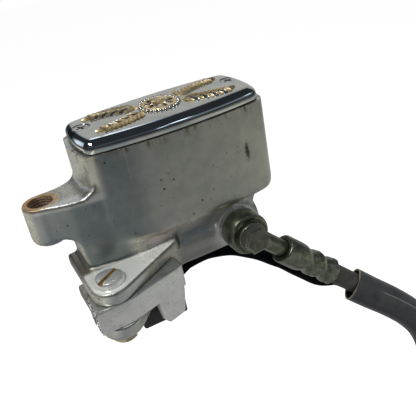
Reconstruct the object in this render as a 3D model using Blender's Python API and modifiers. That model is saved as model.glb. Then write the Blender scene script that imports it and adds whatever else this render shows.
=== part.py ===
# Front brake master cylinder of a motorcycle: a cast body with its fluid reservoir, handlebar clamp, piston
# train, broken brake lever, brake light switch, banjo fitting, hose and switch lead.
# Metres. The origin is the centre of the handlebar seat, +X points inboard along the handlebar, -Y points
# forward and +Z up.
import math

import bmesh
import bpy
from mathutils import Matrix, Vector

mm = 0.001
gap = 0.3 * mm
thin_gap = 0.2 * mm

# Handlebar clamp
bar_radius = 12.7 * mm
saddle_radius = bar_radius + 0.1 * mm
clamp_half_width = 14.0 * mm
clamp_half_height = 25.0 * mm
clamp_body_front = -19.0 * mm
clamp_cap_depth = 19.7 * mm
clamp_ear_depth = 9.0 * mm
clamp_bolt_height = 18.5 * mm
clamp_spot_face = 0.5 * mm

# Bolts and screws
m6_radius = 3.0 * mm
m6_hole_radius = m6_radius + gap
m4_radius = 2.0 * mm
m4_hole_radius = m4_radius + gap
cap_head_radius = 5.0 * mm
cap_head_height = 6.0 * mm

# Casting
casting_grain = 0.9 * mm
casting_smoothing = 12
casting_triangles = 2000

# Reservoir
reservoir_x = 14.4 * mm
reservoir_y = -22.15 * mm
reservoir_half_length = 44.0 * mm
reservoir_half_width = 21.5 * mm
side_bow = 4.2 * mm
end_bow = 1.7 * mm
left_corner = 6.0 * mm
right_corner = 12.0 * mm
reservoir_wall = 3.5 * mm
reservoir_bottom = 14.0 * mm
belly_radius = 10.5 * mm
reservoir_floor = 24.0 * mm
reservoir_rim = 58.7 * mm
reservoir_roll = 4.5 * mm
screw_post_radius = 4.0 * mm
screw_offset_x = reservoir_half_length - 8.0 * mm
screw_offset_y = 3.0 * mm
screw_length = 15.0 * mm
screw_head_radius = 4.0 * mm

# Cover and diaphragm
flange_thickness = 0.9 * mm
cover_height = 5.2 * mm
cover_roll = 4.0 * mm
cover_end_inset = 2.0 * mm
cover_side_inset = 0.5 * mm
pocket_half_length = reservoir_half_length - 13.0 * mm
pocket_half_width = reservoir_half_width - 5.0 * mm
pocket_depth = 2.2 * mm
bellows_depth = 11.0 * mm
bellows_wall = 1.5 * mm
badge_half_length = reservoir_half_length - 14.0 * mm
badge_thickness = 1.6 * mm
badge_triangles = 640
medallion_half_length = 8.5 * mm
medallion_half_width = 10.0 * mm

# Cylinder
bore_y = -27.0 * mm
barrel_radius = 11.75 * mm
barrel_left = -22.0 * mm
barrel_right = reservoir_x + reservoir_half_length - 10.4 * mm
bore_radius = 6.35 * mm
bore_start = -13.0 * mm
bore_end = barrel_right - 4.0 * mm
mouth_radius = 8.6 * mm
clip_groove_radius = 9.3 * mm
clip_groove_start = -15.9 * mm
clip_groove_width = 1.3 * mm
boot_relief_radius = 7.4 * mm
boot_relief_left = -36.0 * mm
supply_port_x = 5.0 * mm
supply_port_radius = 1.5 * mm
return_port_x = 19.0 * mm
return_port_radius = 0.6 * mm

# Lever bracket
pivot_x = -34.0 * mm
pivot_y = -52.0 * mm
ear_tip_radius = 9.2 * mm
ear_rear = -16.0 * mm
upper_ear_top = 9.0 * mm
slot_top = 3.0 * mm
slot_bottom = -9.4 * mm
lower_ear_bottom = -15.0 * mm
slot_step_y = -39.2 * mm
slot_end_x = 6.0 * mm

# Mirror boss and arm
mirror_x = -48.0 * mm
mirror_y = -25.5 * mm
mirror_boss_radius = 8.1 * mm
mirror_top = 42.0 * mm
mirror_boss_bottom = 23.0 * mm
mirror_hole_radius = 5.0 * mm
mirror_hole_depth = 16.0 * mm
arm_underside = 25.5 * mm
column_left = -38.0 * mm
column_right = -20.0 * mm
gusset_right = 8.0 * mm

# Web between reservoir and barrel
web_front = -36.0 * mm
web_rear = -18.0 * mm

# Banjo joint
banjo_x = barrel_right - 14.0 * mm
banjo_z = 2.0 * mm
banjo_boss_radius = 10.8 * mm
banjo_face = -39.0 * mm
banjo_hole_radius = 5.0 * mm
banjo_shank_radius = 4.7 * mm
banjo_eye_radius = 10.0 * mm
banjo_eye_width = 10.0 * mm
crush_washer_width = 1.2 * mm
crush_washer_radius = 8.4 * mm
banjo_hex_flat = 12.0 * mm
banjo_hex_height = 6.0 * mm
neck_radius = 4.3 * mm
neck_length = 26.5 * mm
ferrule_start = 20.5 * mm
ferrule_length = 42.0 * mm
ferrule_radius = 7.0 * mm
ferrule_waist = 6.0 * mm
hose_radius = 5.3 * mm
hose_drop = math.radians(44.5)

# Sight glass
sight_x = reservoir_x + reservoir_half_length / 2
sight_z = 36.0 * mm
sight_face = -2.2 * mm
sight_recess_radius = 9.5 * mm
sight_recess_depth = 1.9 * mm
sight_hole_radius = 6.6 * mm

# Brake light switch
switch_left = -24.0 * mm
switch_right = -2.0 * mm
switch_front = -47.0 * mm
switch_rear = -22.0 * mm
switch_bottom = -26.0 * mm
plunger_x = -9.5 * mm
plunger_z = -18.0 * mm
plunger_radius = 1.6 * mm
plunger_reach = 2.0 * mm
switch_screw_x = -6.0 * mm
switch_screw_y = -28.0 * mm

# Lever stub
lever_top = 2.6 * mm
lever_bottom = -9.0 * mm
lever_hub_radius = 8.3 * mm
finger_face = -33.3 * mm
finger_left = -41.0 * mm
finger_tip = -22.0 * mm
leg_back = -49.3 * mm
leg_foot = -20.0 * mm
pivot_head_radius = 6.2 * mm
pivot_head_height = 3.0 * mm
pivot_shoulder_radius = 4.0 * mm
nut_flat = 10.0 * mm
nut_height = 4.7 * mm

# Piston train
piston_nose_radius = 4.2 * mm
piston_land_radius = bore_radius - 0.15 * mm
cup_radius = bore_radius - 0.1 * mm
piston_right = 14.0 * mm
spring_wire = 1.1 * mm
spring_radius = 4.4 * mm
spring_turns = 6
boot_end = -29.0 * mm

# Hose coil and sleeve
coil_x = 98.0 * mm
coil_z = -250.0 * mm
coil_radius = 58.0 * mm
coil_turns = 2
sleeve_radius = 9.1 * mm
sleeve_wall = 0.8 * mm
lead_radius = 2.3 * mm
connector_length = 20.0 * mm

AXES = {
    "X": Matrix(((0, 0, 1), (1, 0, 0), (0, 1, 0))),
    "Y": Matrix(((1, 0, 0), (0, 0, -1), (0, 1, 0))),
    "Z": Matrix.Identity(3),
}


def clear_scene():
    for old in list(bpy.data.objects):
        bpy.data.objects.remove(old, do_unlink=True)


def new_collection(name):
    collection = bpy.data.collections.new(name)
    bpy.context.scene.collection.children.link(collection)
    return collection


clear_scene()
parts = new_collection("brake_master_cylinder")
cutters = new_collection("cutters")


# Outlines

def arc(centre, radius, start, end, steps):
    points = []
    for step in range(steps + 1):
        angle = math.radians(start + (end - start) * step / steps)
        points.append((centre[0] + radius * math.cos(angle), centre[1] + radius * math.sin(angle)))
    return points


def rounded(corners):
    # A closed outline whose corners are (x, y, fillet radius).
    points = []
    for index, (x, y, radius) in enumerate(corners):
        here = Vector((x, y))
        if radius == 0:
            points.append((x, y))
            continue
        before = Vector(corners[index - 1][:2]) - here
        after = Vector(corners[(index + 1) % len(corners)][:2]) - here
        half = before.angle(after) / 2
        setback = min(radius / math.tan(half), 0.49 * before.length, 0.49 * after.length)
        radius = setback * math.tan(half)
        before.normalize()
        after.normalize()
        centre = here + (before + after).normalized() * radius / math.sin(half)
        first = here + before * setback - centre
        last = here + after * setback - centre
        turn = first.angle_signed(last)
        steps = max(2, round(abs(turn) / math.radians(23)))
        for step in range(steps + 1):
            points.append(tuple(centre + Matrix.Rotation(-turn * step / steps, 2) @ first))
    return points


def bowed_plan(end_inset, side_inset):
    # The reservoir's plan, a rectangle with bowed sides and rounded corners, drawn in by the insets.
    half_length = reservoir_half_length - end_inset
    half_width = reservoir_half_width - side_inset
    corner_x = half_length - end_bow
    corner_y = half_width - side_bow
    inset = (end_inset + side_inset) / 2
    right = max(right_corner - inset, mm)
    left = max(left_corner - inset, mm)
    corners = []
    for side, share, step in ((1, -0.6, 0.3), (-1, 0.6, -0.3)):
        corners.append((-side * corner_x, side * corner_y, left if side > 0 else right))
        for index in range(5):
            place = share + index * step
            corners.append((place * corner_x, side * (half_width - side_bow * place * place), 0))
        corners.append((side * corner_x, side * corner_y, right if side > 0 else left))
        for place in (0.35, 0, -0.35):
            corners.append((side * (half_length - end_bow * place * place), side * place * corner_y, 0))
    corners.reverse()
    return [(reservoir_x + x, reservoir_y + y) for x, y in rounded(corners)]


def tip_plan(last_front_point):
    # The ear's round tip, from the tangent through its last front point to the straight outboard edge.
    reach = Vector(last_front_point) - Vector((pivot_x, pivot_y))
    tangent = math.atan2(reach.y, reach.x) + math.asin(ear_tip_radius / reach.length)
    return arc((pivot_x, pivot_y), ear_tip_radius, math.degrees(tangent) - 90, -180, 10)


# Meshes

def mesh_object(name, mesh):
    new = bpy.data.objects.new(name, mesh)
    parts.objects.link(new)
    return new


def bake(source, name=None, weld=0.002 * mm):
    # The evaluated shape as a plain mesh in world space, welded at its seams.
    bpy.context.view_layer.update()
    evaluated = source.evaluated_get(bpy.context.evaluated_depsgraph_get())
    mesh = bpy.data.meshes.new_from_object(evaluated)
    mesh.transform(source.matrix_world)
    shape = bmesh.new()
    shape.from_mesh(mesh)
    bmesh.ops.remove_doubles(shape, verts=shape.verts, dist=weld)
    shape.to_mesh(mesh)
    shape.free()
    name = name or source.name
    bpy.data.objects.remove(source, do_unlink=True)
    baked = mesh_object(name, mesh)
    baked.name = name
    mesh.name = name
    return baked


def prism(name, outline, axis, low, high, rounding=0.0):
    # A flat outline extruded along an axis, with its rims rolled over by the rounding.
    curve = bpy.data.curves.new(name, "CURVE")
    curve.dimensions = "2D"
    curve.fill_mode = "BOTH"
    curve.extrude = (high - low) / 2 - rounding
    curve.bevel_depth = rounding
    curve.bevel_resolution = 1
    curve.offset = -rounding
    spline = curve.splines.new("POLY")
    spline.points.add(len(outline) - 1)
    for point, place in zip(spline.points, outline):
        point.co = (place[0], place[1], 0, 1)
    spline.use_cyclic_u = True
    flat = bpy.data.objects.new(name, curve)
    parts.objects.link(flat)
    turn = AXES[axis]
    flat.matrix_world = Matrix.Translation(turn @ Vector((0, 0, (low + high) / 2 * (-1 if axis == "Y" else 1)))) \
        @ turn.to_4x4()
    return bake(flat)


def turned(name, profile, base, direction, segments=16, closed=False):
    # A profile of (height, radius) pairs, listed down its outer side, turned about an axis through the base.
    mesh = bpy.data.meshes.new(name)
    shape = bmesh.new()
    verts = [shape.verts.new((radius, 0, height)) for height, radius in profile]
    for first, second in zip(verts, verts[1:]):
        shape.edges.new((first, second))
    if closed:
        shape.edges.new((verts[-1], verts[0]))
    shape.to_mesh(mesh)
    shape.free()
    solid = mesh_object(name, mesh)
    screw = solid.modifiers.new("turn", "SCREW")
    screw.axis = "Z"
    screw.steps = segments
    screw.render_steps = segments
    screw.use_merge_vertices = True
    screw.merge_threshold = 0.001 * mm
    solid.rotation_mode = "QUATERNION"
    solid.rotation_quaternion = Vector(direction).to_track_quat("Z", "X")
    solid.location = base
    return bake(solid)


def cylinder(name, base, direction, radius, length, segments=16):
    profile = [(length, 0), (length, radius), (0, radius), (0, 0)]
    return turned(name, profile, base, direction, segments)


def box(name, low, high, bevel=0.0):
    bpy.ops.mesh.primitive_cube_add(size=1)
    cube = bpy.context.object
    for old in list(cube.users_collection):
        old.objects.unlink(cube)
    parts.objects.link(cube)
    cube.name = name
    low, high = Vector(low), Vector(high)
    cube.location = (low + high) / 2
    cube.scale = high - low
    cube = bake(cube, name)
    if bevel:
        rounding = cube.modifiers.new("edges", "BEVEL")
        rounding.width = bevel
        rounding.segments = 1 if bevel < 1.3 * mm else 2
        cube = bake(cube)
    return cube


def combine(target, others, operation, solver="EXACT"):
    name = target.name
    for other in others:
        cutters.objects.link(other)
        parts.objects.unlink(other)
        other.hide_render = True
        other.display_type = "WIRE"
        step = target.modifiers.new("combine", "BOOLEAN")
        step.operation = operation
        step.solver = solver
        step.object = other
        target = bake(target, name, 0.0001 * mm)
        bpy.data.objects.remove(other, do_unlink=True)
    return target


def cut(target, *others):
    return combine(target, others, "DIFFERENCE")


def unite(target, *others):
    return combine(target, others, "UNION")


def overlap(target, *others):
    return combine(target, others, "INTERSECT")


def join(name, pieces):
    shape = bmesh.new()
    for piece in pieces:
        shape.from_mesh(piece.data)
        bpy.data.objects.remove(piece, do_unlink=True)
    mesh = bpy.data.meshes.new(name)
    shape.to_mesh(mesh)
    shape.free()
    return mesh_object(name, mesh)


def cast(name, pieces, grain, smoothing, triangles):
    # Overlapping solids fused into one casting whose inner corners carry small fillets.
    blank = join(name, pieces)
    remesh = blank.modifiers.new("fuse", "REMESH")
    remesh.mode = "VOXEL"
    remesh.voxel_size = grain
    smooth = blank.modifiers.new("fillet", "SMOOTH")
    smooth.factor = 0.5
    smooth.iterations = round(smoothing)
    blank = bake(blank)
    reduce = blank.modifiers.new("facets", "DECIMATE")
    reduce.ratio = min(1.0, triangles / (2 * len(blank.data.polygons)))
    return bake(blank)


def smooth_route(places, spacing):
    # Points at even spacing along a smooth curve through the given places.
    places = [Vector(place) for place in places]
    ends = [2 * places[0] - places[1]] + places + [2 * places[-1] - places[-2]]
    fine = []
    for index in range(1, len(ends) - 2):
        a, b, c, d = ends[index - 1:index + 3]
        for step in range(20):
            t = step / 20
            fine.append(0.5 * (2 * b + (c - a) * t + (2 * a - 5 * b + 4 * c - d) * t * t
                               + (3 * b - a - 3 * c + d) * t * t * t))
    fine.append(places[-1])
    lengths = [0.0]
    for first, second in zip(fine, fine[1:]):
        lengths.append(lengths[-1] + (second - first).length)
    count = max(2, round(lengths[-1] / spacing))
    route = []
    for step in range(count + 1):
        want = lengths[-1] * step / count
        index = min(len(fine) - 2, sum(length < want for length in lengths[1:]))
        span = lengths[index + 1] - lengths[index]
        route.append(fine[index].lerp(fine[index + 1], (want - lengths[index]) / span))
    return route


def tube(name, points, radius, resolution=2, caps=True):
    curve = bpy.data.curves.new(name, "CURVE")
    curve.dimensions = "3D"
    curve.bevel_depth = radius
    curve.bevel_resolution = resolution
    curve.use_fill_caps = caps
    spline = curve.splines.new("POLY")
    spline.points.add(len(points) - 1)
    for point, place in zip(spline.points, points):
        point.co = (*place, 1)
    wire = bpy.data.objects.new(name, curve)
    parts.objects.link(wire)
    return wire


# Materials and finishing

def material(name, colour, roughness, metallic):
    new = bpy.data.materials.new(name)
    new.use_nodes = True
    surface = new.node_tree.nodes["Principled BSDF"]
    surface.inputs["Base Color"].default_value = (*colour, 1)
    surface.inputs["Roughness"].default_value = roughness
    surface.inputs["Metallic"].default_value = metallic
    new.diffuse_color = (*colour, 1)
    return new


cast_aluminium = material("cast_aluminium", (0.62, 0.60, 0.57), 0.32, 1)
chrome = material("chrome", (0.80, 0.80, 0.82), 0.08, 1)
gold = material("gold", (0.83, 0.62, 0.27), 0.25, 1)
steel = material("steel", (0.60, 0.60, 0.61), 0.3, 1)
black_rubber = material("black_rubber", (0.02, 0.02, 0.02), 0.7, 0)
black_plastic = material("black_plastic", (0.03, 0.03, 0.032), 0.45, 0)
white_plastic = material("white_plastic", (0.75, 0.74, 0.70), 0.5, 0)
black_vinyl = material("black_vinyl", (0.025, 0.025, 0.027), 0.35, 0)
zinc = material("zinc", (0.68, 0.62, 0.42), 0.35, 1)
lever_aluminium = material("lever_aluminium", (0.60, 0.60, 0.60), 0.4, 1)
anodised = material("anodised", (0.50, 0.49, 0.38), 0.35, 1)
spring_steel = material("spring_steel", (0.45, 0.45, 0.46), 0.35, 1)
copper = material("copper", (0.72, 0.45, 0.30), 0.35, 1)
clear_plastic = material("clear_plastic", (0.75, 0.80, 0.80), 0.1, 0)


def finish(piece, surface, angle=32):
    piece.data.materials.clear()
    piece.data.materials.append(surface)
    if piece.type == "MESH":
        piece.data.shade_smooth()
        piece.data.set_sharp_from_angle(angle=math.radians(angle))
    return piece


# Body: one casting, then its machined faces, bores and threads

banjo_centre = Vector((banjo_x, 0, banjo_z))
pivot = Vector((pivot_x, pivot_y, 0))
mirror = Vector((mirror_x, mirror_y, 0))
sight = Vector((sight_x, 0, sight_z))
screw_places = [
    Vector((reservoir_x + side * screw_offset_x, reservoir_y + screw_offset_y, 0)) for side in (-1, 1)
]
machining = 1 * mm
inboard = Vector((1, 0, 0))
forward = Vector((0, -1, 0))
rearward = Vector((0, 1, 0))
up = Vector((0, 0, 1))
down = Vector((0, 0, -1))


def at_height(place, z):
    return Vector((place[0], place[1], z))


def at_depth(place, y):
    return Vector((place[0], y, place[2]))


def arm_and_column():
    # The mirror arm rises into the reservoir's end wall and bends down into the column that holds the ears.
    end_wall = reservoir_x - reservoir_half_length + 0.8 * mm
    side = prism("arm_side", rounded([
        (mirror_x - 2 * mm, arm_underside, 0),
        (column_left - 1.5 * mm, arm_underside, 6 * mm),
        (column_left + 0.5 * mm, slot_top, 0),
        (column_right, slot_top, 0),
        (gusset_right, reservoir_bottom + 4 * mm, 0),
        (gusset_right, reservoir_rim - 6 * mm, 0),
        (end_wall, reservoir_rim - 6 * mm, 0),
        (end_wall, mirror_top, 6 * mm),
        (mirror_x - 2 * mm, mirror_top, 0),
    ]), "Y", reservoir_y - reservoir_half_width, reservoir_y + reservoir_half_width)
    front = reservoir_y - reservoir_half_width + side_bow
    plan = prism("arm_plan", [
        (mirror_x - 2 * mm, mirror_y - mirror_boss_radius + 0.5 * mm),
        (column_left, front + 2 * mm),
        (column_left + 11 * mm, front),
        (gusset_right, front),
        (gusset_right, -12 * mm),
        (column_left + 9 * mm, -12 * mm),
        (column_left, ear_rear),
        (mirror_x - 2 * mm, mirror_y + mirror_boss_radius - 0.5 * mm),
    ], "Z", 0, reservoir_rim)
    return overlap(side, plan)


def mirror_boss():
    height = mirror_top - mirror_boss_bottom + machining
    radius = mirror_boss_radius
    return turned("boss", [
        (height, 0), (height, radius), (3 * mm, radius), (1.2 * mm, radius - mm),
        (0, radius - 3.2 * mm), (0, 0),
    ], at_height(mirror, mirror_boss_bottom), up)


def barrel():
    length = barrel_right - barrel_left
    dome = [(length - 4.5 * mm * (1 - math.sin(math.radians(angle))),
             barrel_radius - 4.5 * mm * (1 - math.cos(math.radians(angle)))) for angle in range(90, -1, -15)]
    return turned("barrel", [(length, 0)] + dome + [(0, barrel_radius), (0, 0)],
                  (barrel_left, bore_y, 0), inboard, 32)


def upper_ear():
    front_end = (0, reservoir_y - 20 * mm)
    outline = tip_plan(front_end) + [
        (pivot_x - ear_tip_radius, ear_rear + machining),
        (barrel_left, ear_rear + machining),
        (0, bore_y),
        front_end,
    ]
    return prism("upper_ear", outline, "Z", slot_top - machining, upper_ear_top)


def lower_ear():
    # The lower ear runs on inboard as the pad that carries the brake light switch.
    pad_end = switch_right + 5 * mm
    front_end = (switch_left + 8.4 * mm, switch_front + mm)
    outline = tip_plan(front_end) + [
        (pivot_x - ear_tip_radius, ear_rear + machining),
        (barrel_left, ear_rear + machining),
        (barrel_left, web_rear),
        (pad_end, web_rear),
        (pad_end, slot_step_y + mm),
        (front_end[0] + 2.6 * mm, slot_step_y + mm),
        front_end,
    ]
    return prism("lower_ear", outline, "Z", lower_ear_bottom - machining, slot_bottom + machining)


def body_casting():
    reservoir_top = reservoir_rim + reservoir_roll + 2 * mm
    belly = reservoir_x + reservoir_half_length
    left_end = reservoir_x - reservoir_half_length - mm
    reservoir = overlap(
        prism("reservoir", bowed_plan(0, 0), "Z", reservoir_bottom, reservoir_top, reservoir_roll),
        prism("reservoir_side", rounded([
            (left_end, reservoir_bottom, 0), (belly, reservoir_bottom, belly_radius),
            (belly, reservoir_top, 0), (left_end, reservoir_top, 0),
        ]), "Y", reservoir_y - reservoir_half_width - mm, reservoir_y + reservoir_half_width + mm),
    )
    web = prism("web", rounded([
        (barrel_left - 4 * mm, -2 * mm, 0),
        (barrel_right - 6 * mm, -2 * mm, 0),
        (barrel_right - 2 * mm, 9.5 * mm, 6 * mm),
        (belly - belly_radius, reservoir_bottom, 0),
        (belly - 3 * mm, reservoir_floor, 0),
        (barrel_left - 4 * mm, reservoir_floor, 0),
    ]), "Y", web_front, web_rear)
    banjo_boss = cylinder("banjo_boss", at_depth(banjo_centre, bore_y), forward, banjo_boss_radius,
                          bore_y - banjo_face + machining, 40)
    clamp = box("clamp", (-clamp_half_width, clamp_body_front, -clamp_half_height),
                (clamp_half_width, machining, clamp_half_height), 1.5 * mm)
    pieces = [
        reservoir, web, arm_and_column(), mirror_boss(), barrel(), banjo_boss, upper_ear(), lower_ear(), clamp,
    ]
    return cast("master_cylinder_body", pieces, casting_grain, casting_smoothing, casting_triangles)


def reservoir_cavity():
    # The screw posts stay standing, tied to the end walls.
    top = reservoir_rim + 2 * machining
    cavity = prism("cavity", bowed_plan(reservoir_wall, reservoir_wall), "Z", reservoir_floor, top)
    posts = []
    for side, place in zip((-1, 1), screw_places):
        wall_x = reservoir_x + side * (reservoir_half_length - reservoir_wall / 2)
        half_turn = arc(place[:2], screw_post_radius, 90 if side > 0 else -90, 270 if side > 0 else 90, 10)
        outline = half_turn + [
            (wall_x, place.y - side * screw_post_radius),
            (wall_x, place.y + side * screw_post_radius),
        ]
        posts.append(prism("post", outline, "Z", reservoir_floor - machining, top + machining))
    return cut(cavity, *posts)


def bore_cutter():
    steps = [
        (barrel_left - machining, 0), (barrel_left - machining, mouth_radius),
        (clip_groove_start, mouth_radius), (clip_groove_start, clip_groove_radius),
        (clip_groove_start + clip_groove_width, clip_groove_radius),
        (clip_groove_start + clip_groove_width, mouth_radius), (bore_start, mouth_radius),
        (bore_start, bore_radius), (bore_end, bore_radius), (bore_end + 3 * mm, 0),
    ]
    profile = [(x - barrel_left, radius) for x, radius in reversed(steps)]
    return turned("bore", profile, (barrel_left, bore_y, 0), inboard, 28)


def machine_body(body):
    far = 70 * mm
    body = cut(
        body,
        box("rim_plane", (-far, -far, reservoir_rim), (far, far, reservoir_rim + far)),
        reservoir_cavity(),
        bore_cutter(),
        cylinder("boot_relief", (boot_relief_left, bore_y, 0), inboard, boot_relief_radius,
                 barrel_left - boot_relief_left + machining),
    )
    body = cut(
        body,
        prism("lever_slot", rounded([
            (-far, -far, 0), (slot_end_x, -far, 0), (slot_end_x, slot_step_y, mm),
            (barrel_left, slot_step_y, mm), (barrel_left, -10 * mm, 0), (-far, -10 * mm, 0),
        ]), "Z", slot_bottom, slot_top),
        box("ear_rear", (-far, ear_rear, -far), (barrel_left - mm, 0, upper_ear_top + machining)),
        cylinder("upper_spot_face", at_height(pivot, upper_ear_top), up, pivot_head_radius + mm, 5 * mm),
        cylinder("lower_spot_face", at_height(pivot, lower_ear_bottom), down, nut_flat * 0.75, 5 * mm),
        box("switch_face", (switch_left - mm, switch_front - mm, lower_ear_bottom - 5 * mm),
            (switch_right + 7 * mm, clamp_body_front - mm, lower_ear_bottom)),
        cylinder("upper_pivot_hole", at_height(pivot, 0), up, pivot_shoulder_radius + thin_gap, 20 * mm),
        cylinder("lower_pivot_hole", at_height(pivot, 0), down, m6_hole_radius, 20 * mm),
        cylinder("switch_screw_hole", (switch_screw_x, switch_screw_y, lower_ear_bottom - machining), up,
                 m4_hole_radius, 7 * mm, 16),
    )
    body = cut(
        body,
        cylinder("mirror_face", at_height(mirror, mirror_top), up, mirror_boss_radius + 1.5 * mm, 6 * mm),
        cylinder("mirror_hole", at_height(mirror, mirror_top + machining), down, mirror_hole_radius,
                 mirror_hole_depth + machining),
        cylinder("banjo_face", at_depth(banjo_centre, banjo_face), forward, banjo_boss_radius + mm, 5 * mm),
        cylinder("banjo_hole", at_depth(banjo_centre, banjo_face - machining), forward * -1, banjo_hole_radius,
                 bore_y - banjo_face + machining),
        cylinder("supply_port", (supply_port_x, bore_y, 0), up, supply_port_radius, reservoir_floor + machining, 16),
        cylinder("return_port", (return_port_x, bore_y, 0), up, return_port_radius, reservoir_floor + machining, 12),
        cylinder("bar_seat", (-far, 0, 0), inboard, saddle_radius, 2 * far, 32),
        box("clamp_face", (-far, -thin_gap, -far), (far, far, far)),
    )
    bolt_holes = [
        cylinder("clamp_hole", (0, machining, side * clamp_bolt_height), forward, m6_hole_radius,
                 -clamp_body_front - 2 * mm, 24) for side in (-1, 1)
    ]
    post_holes = [
        cylinder("post_hole", at_height(place, reservoir_rim + machining), down, m4_hole_radius,
                 screw_length + machining, 16) for place in screw_places
    ]
    return cut(
        body, *bolt_holes, *post_holes,
        cylinder("sight_recess", at_depth(sight, sight_face - sight_recess_depth), rearward, sight_recess_radius,
                 6 * mm, 28),
        cylinder("sight_hole", at_depth(sight, reservoir_y), rearward, sight_hole_radius, reservoir_half_width),
    )


body = finish(machine_body(body_casting()), cast_aluminium)


# Reservoir cover and what it clamps

diaphragm_bottom = reservoir_rim + thin_gap
diaphragm_top = diaphragm_bottom + flange_thickness
cover_bottom = diaphragm_top + thin_gap
cover_top = cover_bottom + cover_height
screw_seat_depth = screw_head_radius - m4_radius


def inner_plan(half_length, half_width):
    return bowed_plan(reservoir_half_length - half_length, reservoir_half_width - half_width)


def cover():
    plan = bowed_plan(cover_end_inset, cover_side_inset)
    shell = prism("reservoir_cover", plan, "Z", cover_bottom - cover_roll - mm, cover_top, cover_roll)
    far = 70 * mm
    return cut(
        shell,
        box("underside", (-far, -far, 0), (far, far, cover_bottom)),
        prism("pocket", inner_plan(pocket_half_length, pocket_half_width), "Z", cover_bottom - mm,
              cover_bottom + pocket_depth),
        *[turned("screw_seat", [
            (2 * cover_height, 0), (2 * cover_height, screw_head_radius + thin_gap + cover_height),
            (cover_height, screw_head_radius + thin_gap), (cover_height - screw_seat_depth, m4_hole_radius),
            (-mm, m4_hole_radius), (-mm, 0),
        ], at_height(place, cover_bottom), up, 24) for place in screw_places]
    )


def cover_screw(name, place):
    # Countersunk, with a cross recess.
    height = cover_top - reservoir_rim + screw_length - mm
    screw = turned(name, [
        (height, 0), (height, screw_head_radius), (height - screw_seat_depth, m4_radius),
        (0.5 * mm, m4_radius), (0, m4_radius - 0.5 * mm), (0, 0),
    ], at_height(place, cover_top - height - thin_gap), up, 20)
    top = cover_top + mm
    arm, half_slot, depth = 2.3 * mm, 0.5 * mm, 3 * mm
    x, y = place[:2]
    return cut(
        screw,
        box("recess", (x - arm, y - half_slot, top - depth), (x + arm, y + half_slot, top)),
        box("recess", (x - half_slot, y - arm, top - depth), (x + half_slot, y + arm, top)),
    )


def diaphragm():
    cup_length = pocket_half_length - 1.5 * mm
    cup_width = pocket_half_width - 1.5 * mm
    flange = prism("diaphragm", bowed_plan(cover_end_inset + 0.3 * mm, cover_side_inset + 0.5 * mm), "Z",
                   diaphragm_bottom, diaphragm_top)
    cup = prism("cup", inner_plan(cup_length, cup_width), "Z", diaphragm_bottom - bellows_depth,
                diaphragm_top - 0.3 * mm)
    hollow = prism("hollow", inner_plan(cup_length - bellows_wall, cup_width - bellows_wall), "Z",
                   diaphragm_bottom - bellows_depth + bellows_wall, diaphragm_top + mm)
    holes = [cylinder("hole", at_height(place, diaphragm_bottom - mm), up, m4_hole_radius, 3 * mm, 20)
             for place in screw_places]
    return cut(unite(flange, cup), hollow, *holes)


def diaphragm_plate():
    plan = inner_plan(pocket_half_length - gap, pocket_half_width - gap)
    plate = prism("diaphragm_plate", plan, "Z", diaphragm_top + gap, cover_bottom + pocket_depth - gap)
    vent = cylinder("vent", (reservoir_x, reservoir_y, cover_bottom - mm), up, 1.5 * mm, pocket_depth + 2 * mm, 12)
    return cut(plate, vent)


def pebble(centre, half_sizes, heading=0):
    # A smooth ellipsoid whose long side points along the heading.
    shape = bmesh.new()
    bmesh.ops.create_uvsphere(shape, u_segments=12, v_segments=8, radius=1)
    placing = Matrix.Translation(centre) @ Matrix.Rotation(heading, 4, "Z") @ Matrix.Diagonal((*half_sizes, 1))
    bmesh.ops.transform(shape, matrix=placing, verts=shape.verts)
    mesh = bpy.data.meshes.new("pebble")
    shape.to_mesh(mesh)
    shape.free()
    return mesh_object("pebble", mesh)


def leafy_spray(centre, side, lean):
    # A bowed stem from the medallion outwards, with paired leaves and one at its tip.
    leaves = 5
    start = medallion_half_length * 0.7
    reach = badge_half_length - start - 3 * mm
    height = badge_thickness * 0.55

    def stem_point(share):
        sweep = lean * (3 + 6.5 * math.sin(share * math.pi / 2)) * mm
        return centre + Vector((side * (start + reach * share), sweep, 0))

    pieces = [bake(tube("stem", [stem_point(step / 8) for step in range(9)], 0.9 * mm))]
    for index in range(leaves + 1):
        share = 0.22 + 0.78 * index / leaves
        place = stem_point(share)
        ahead = stem_point(share + 0.02) - place
        heading = math.atan2(ahead.y, ahead.x)
        length = (3.6 - 0.8 * share) * mm
        for spread in ((-40, 40) if index < leaves else (0,)):
            turn = heading + math.radians(spread)
            middle = place + Vector((math.cos(turn), math.sin(turn), 0)) * length * 0.8
            pieces.append(pebble(middle, (length, 1.25 * mm, height), turn))
    return pieces


def badge():
    # An oval medallion with a beaded rim and a rosette, between four leafy sprays.
    base = cover_top + thin_gap
    centre = Vector((reservoir_x, reservoir_y + 0.7 * mm, base))
    pieces = [pebble(centre, (medallion_half_length, medallion_half_width, badge_thickness * 0.7))]
    for step in range(20):
        angle = math.tau * step / 20
        place = centre + Vector((medallion_half_length * math.cos(angle), medallion_half_width * math.sin(angle), 0))
        pieces.append(pebble(place, (1.5 * mm, 1.5 * mm, badge_thickness * 0.8)))
    for step in range(8):
        angle = math.tau * step / 8
        petal = Vector((math.cos(angle), math.sin(angle), 0)) * medallion_half_width * 0.42
        pieces.append(pebble(centre + petal, (2.6 * mm, 1.3 * mm, badge_thickness), angle))
    for side in (-1, 1):
        for lean in (-1, 1):
            pieces += leafy_spray(centre, side, lean)
    relief = cast("cover_badge", pieces, 0.4 * mm, 1, badge_triangles)
    far = 2 * reservoir_half_length
    return cut(relief, box("underside", (-far, -far, 0), (far, far, base)))


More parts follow.
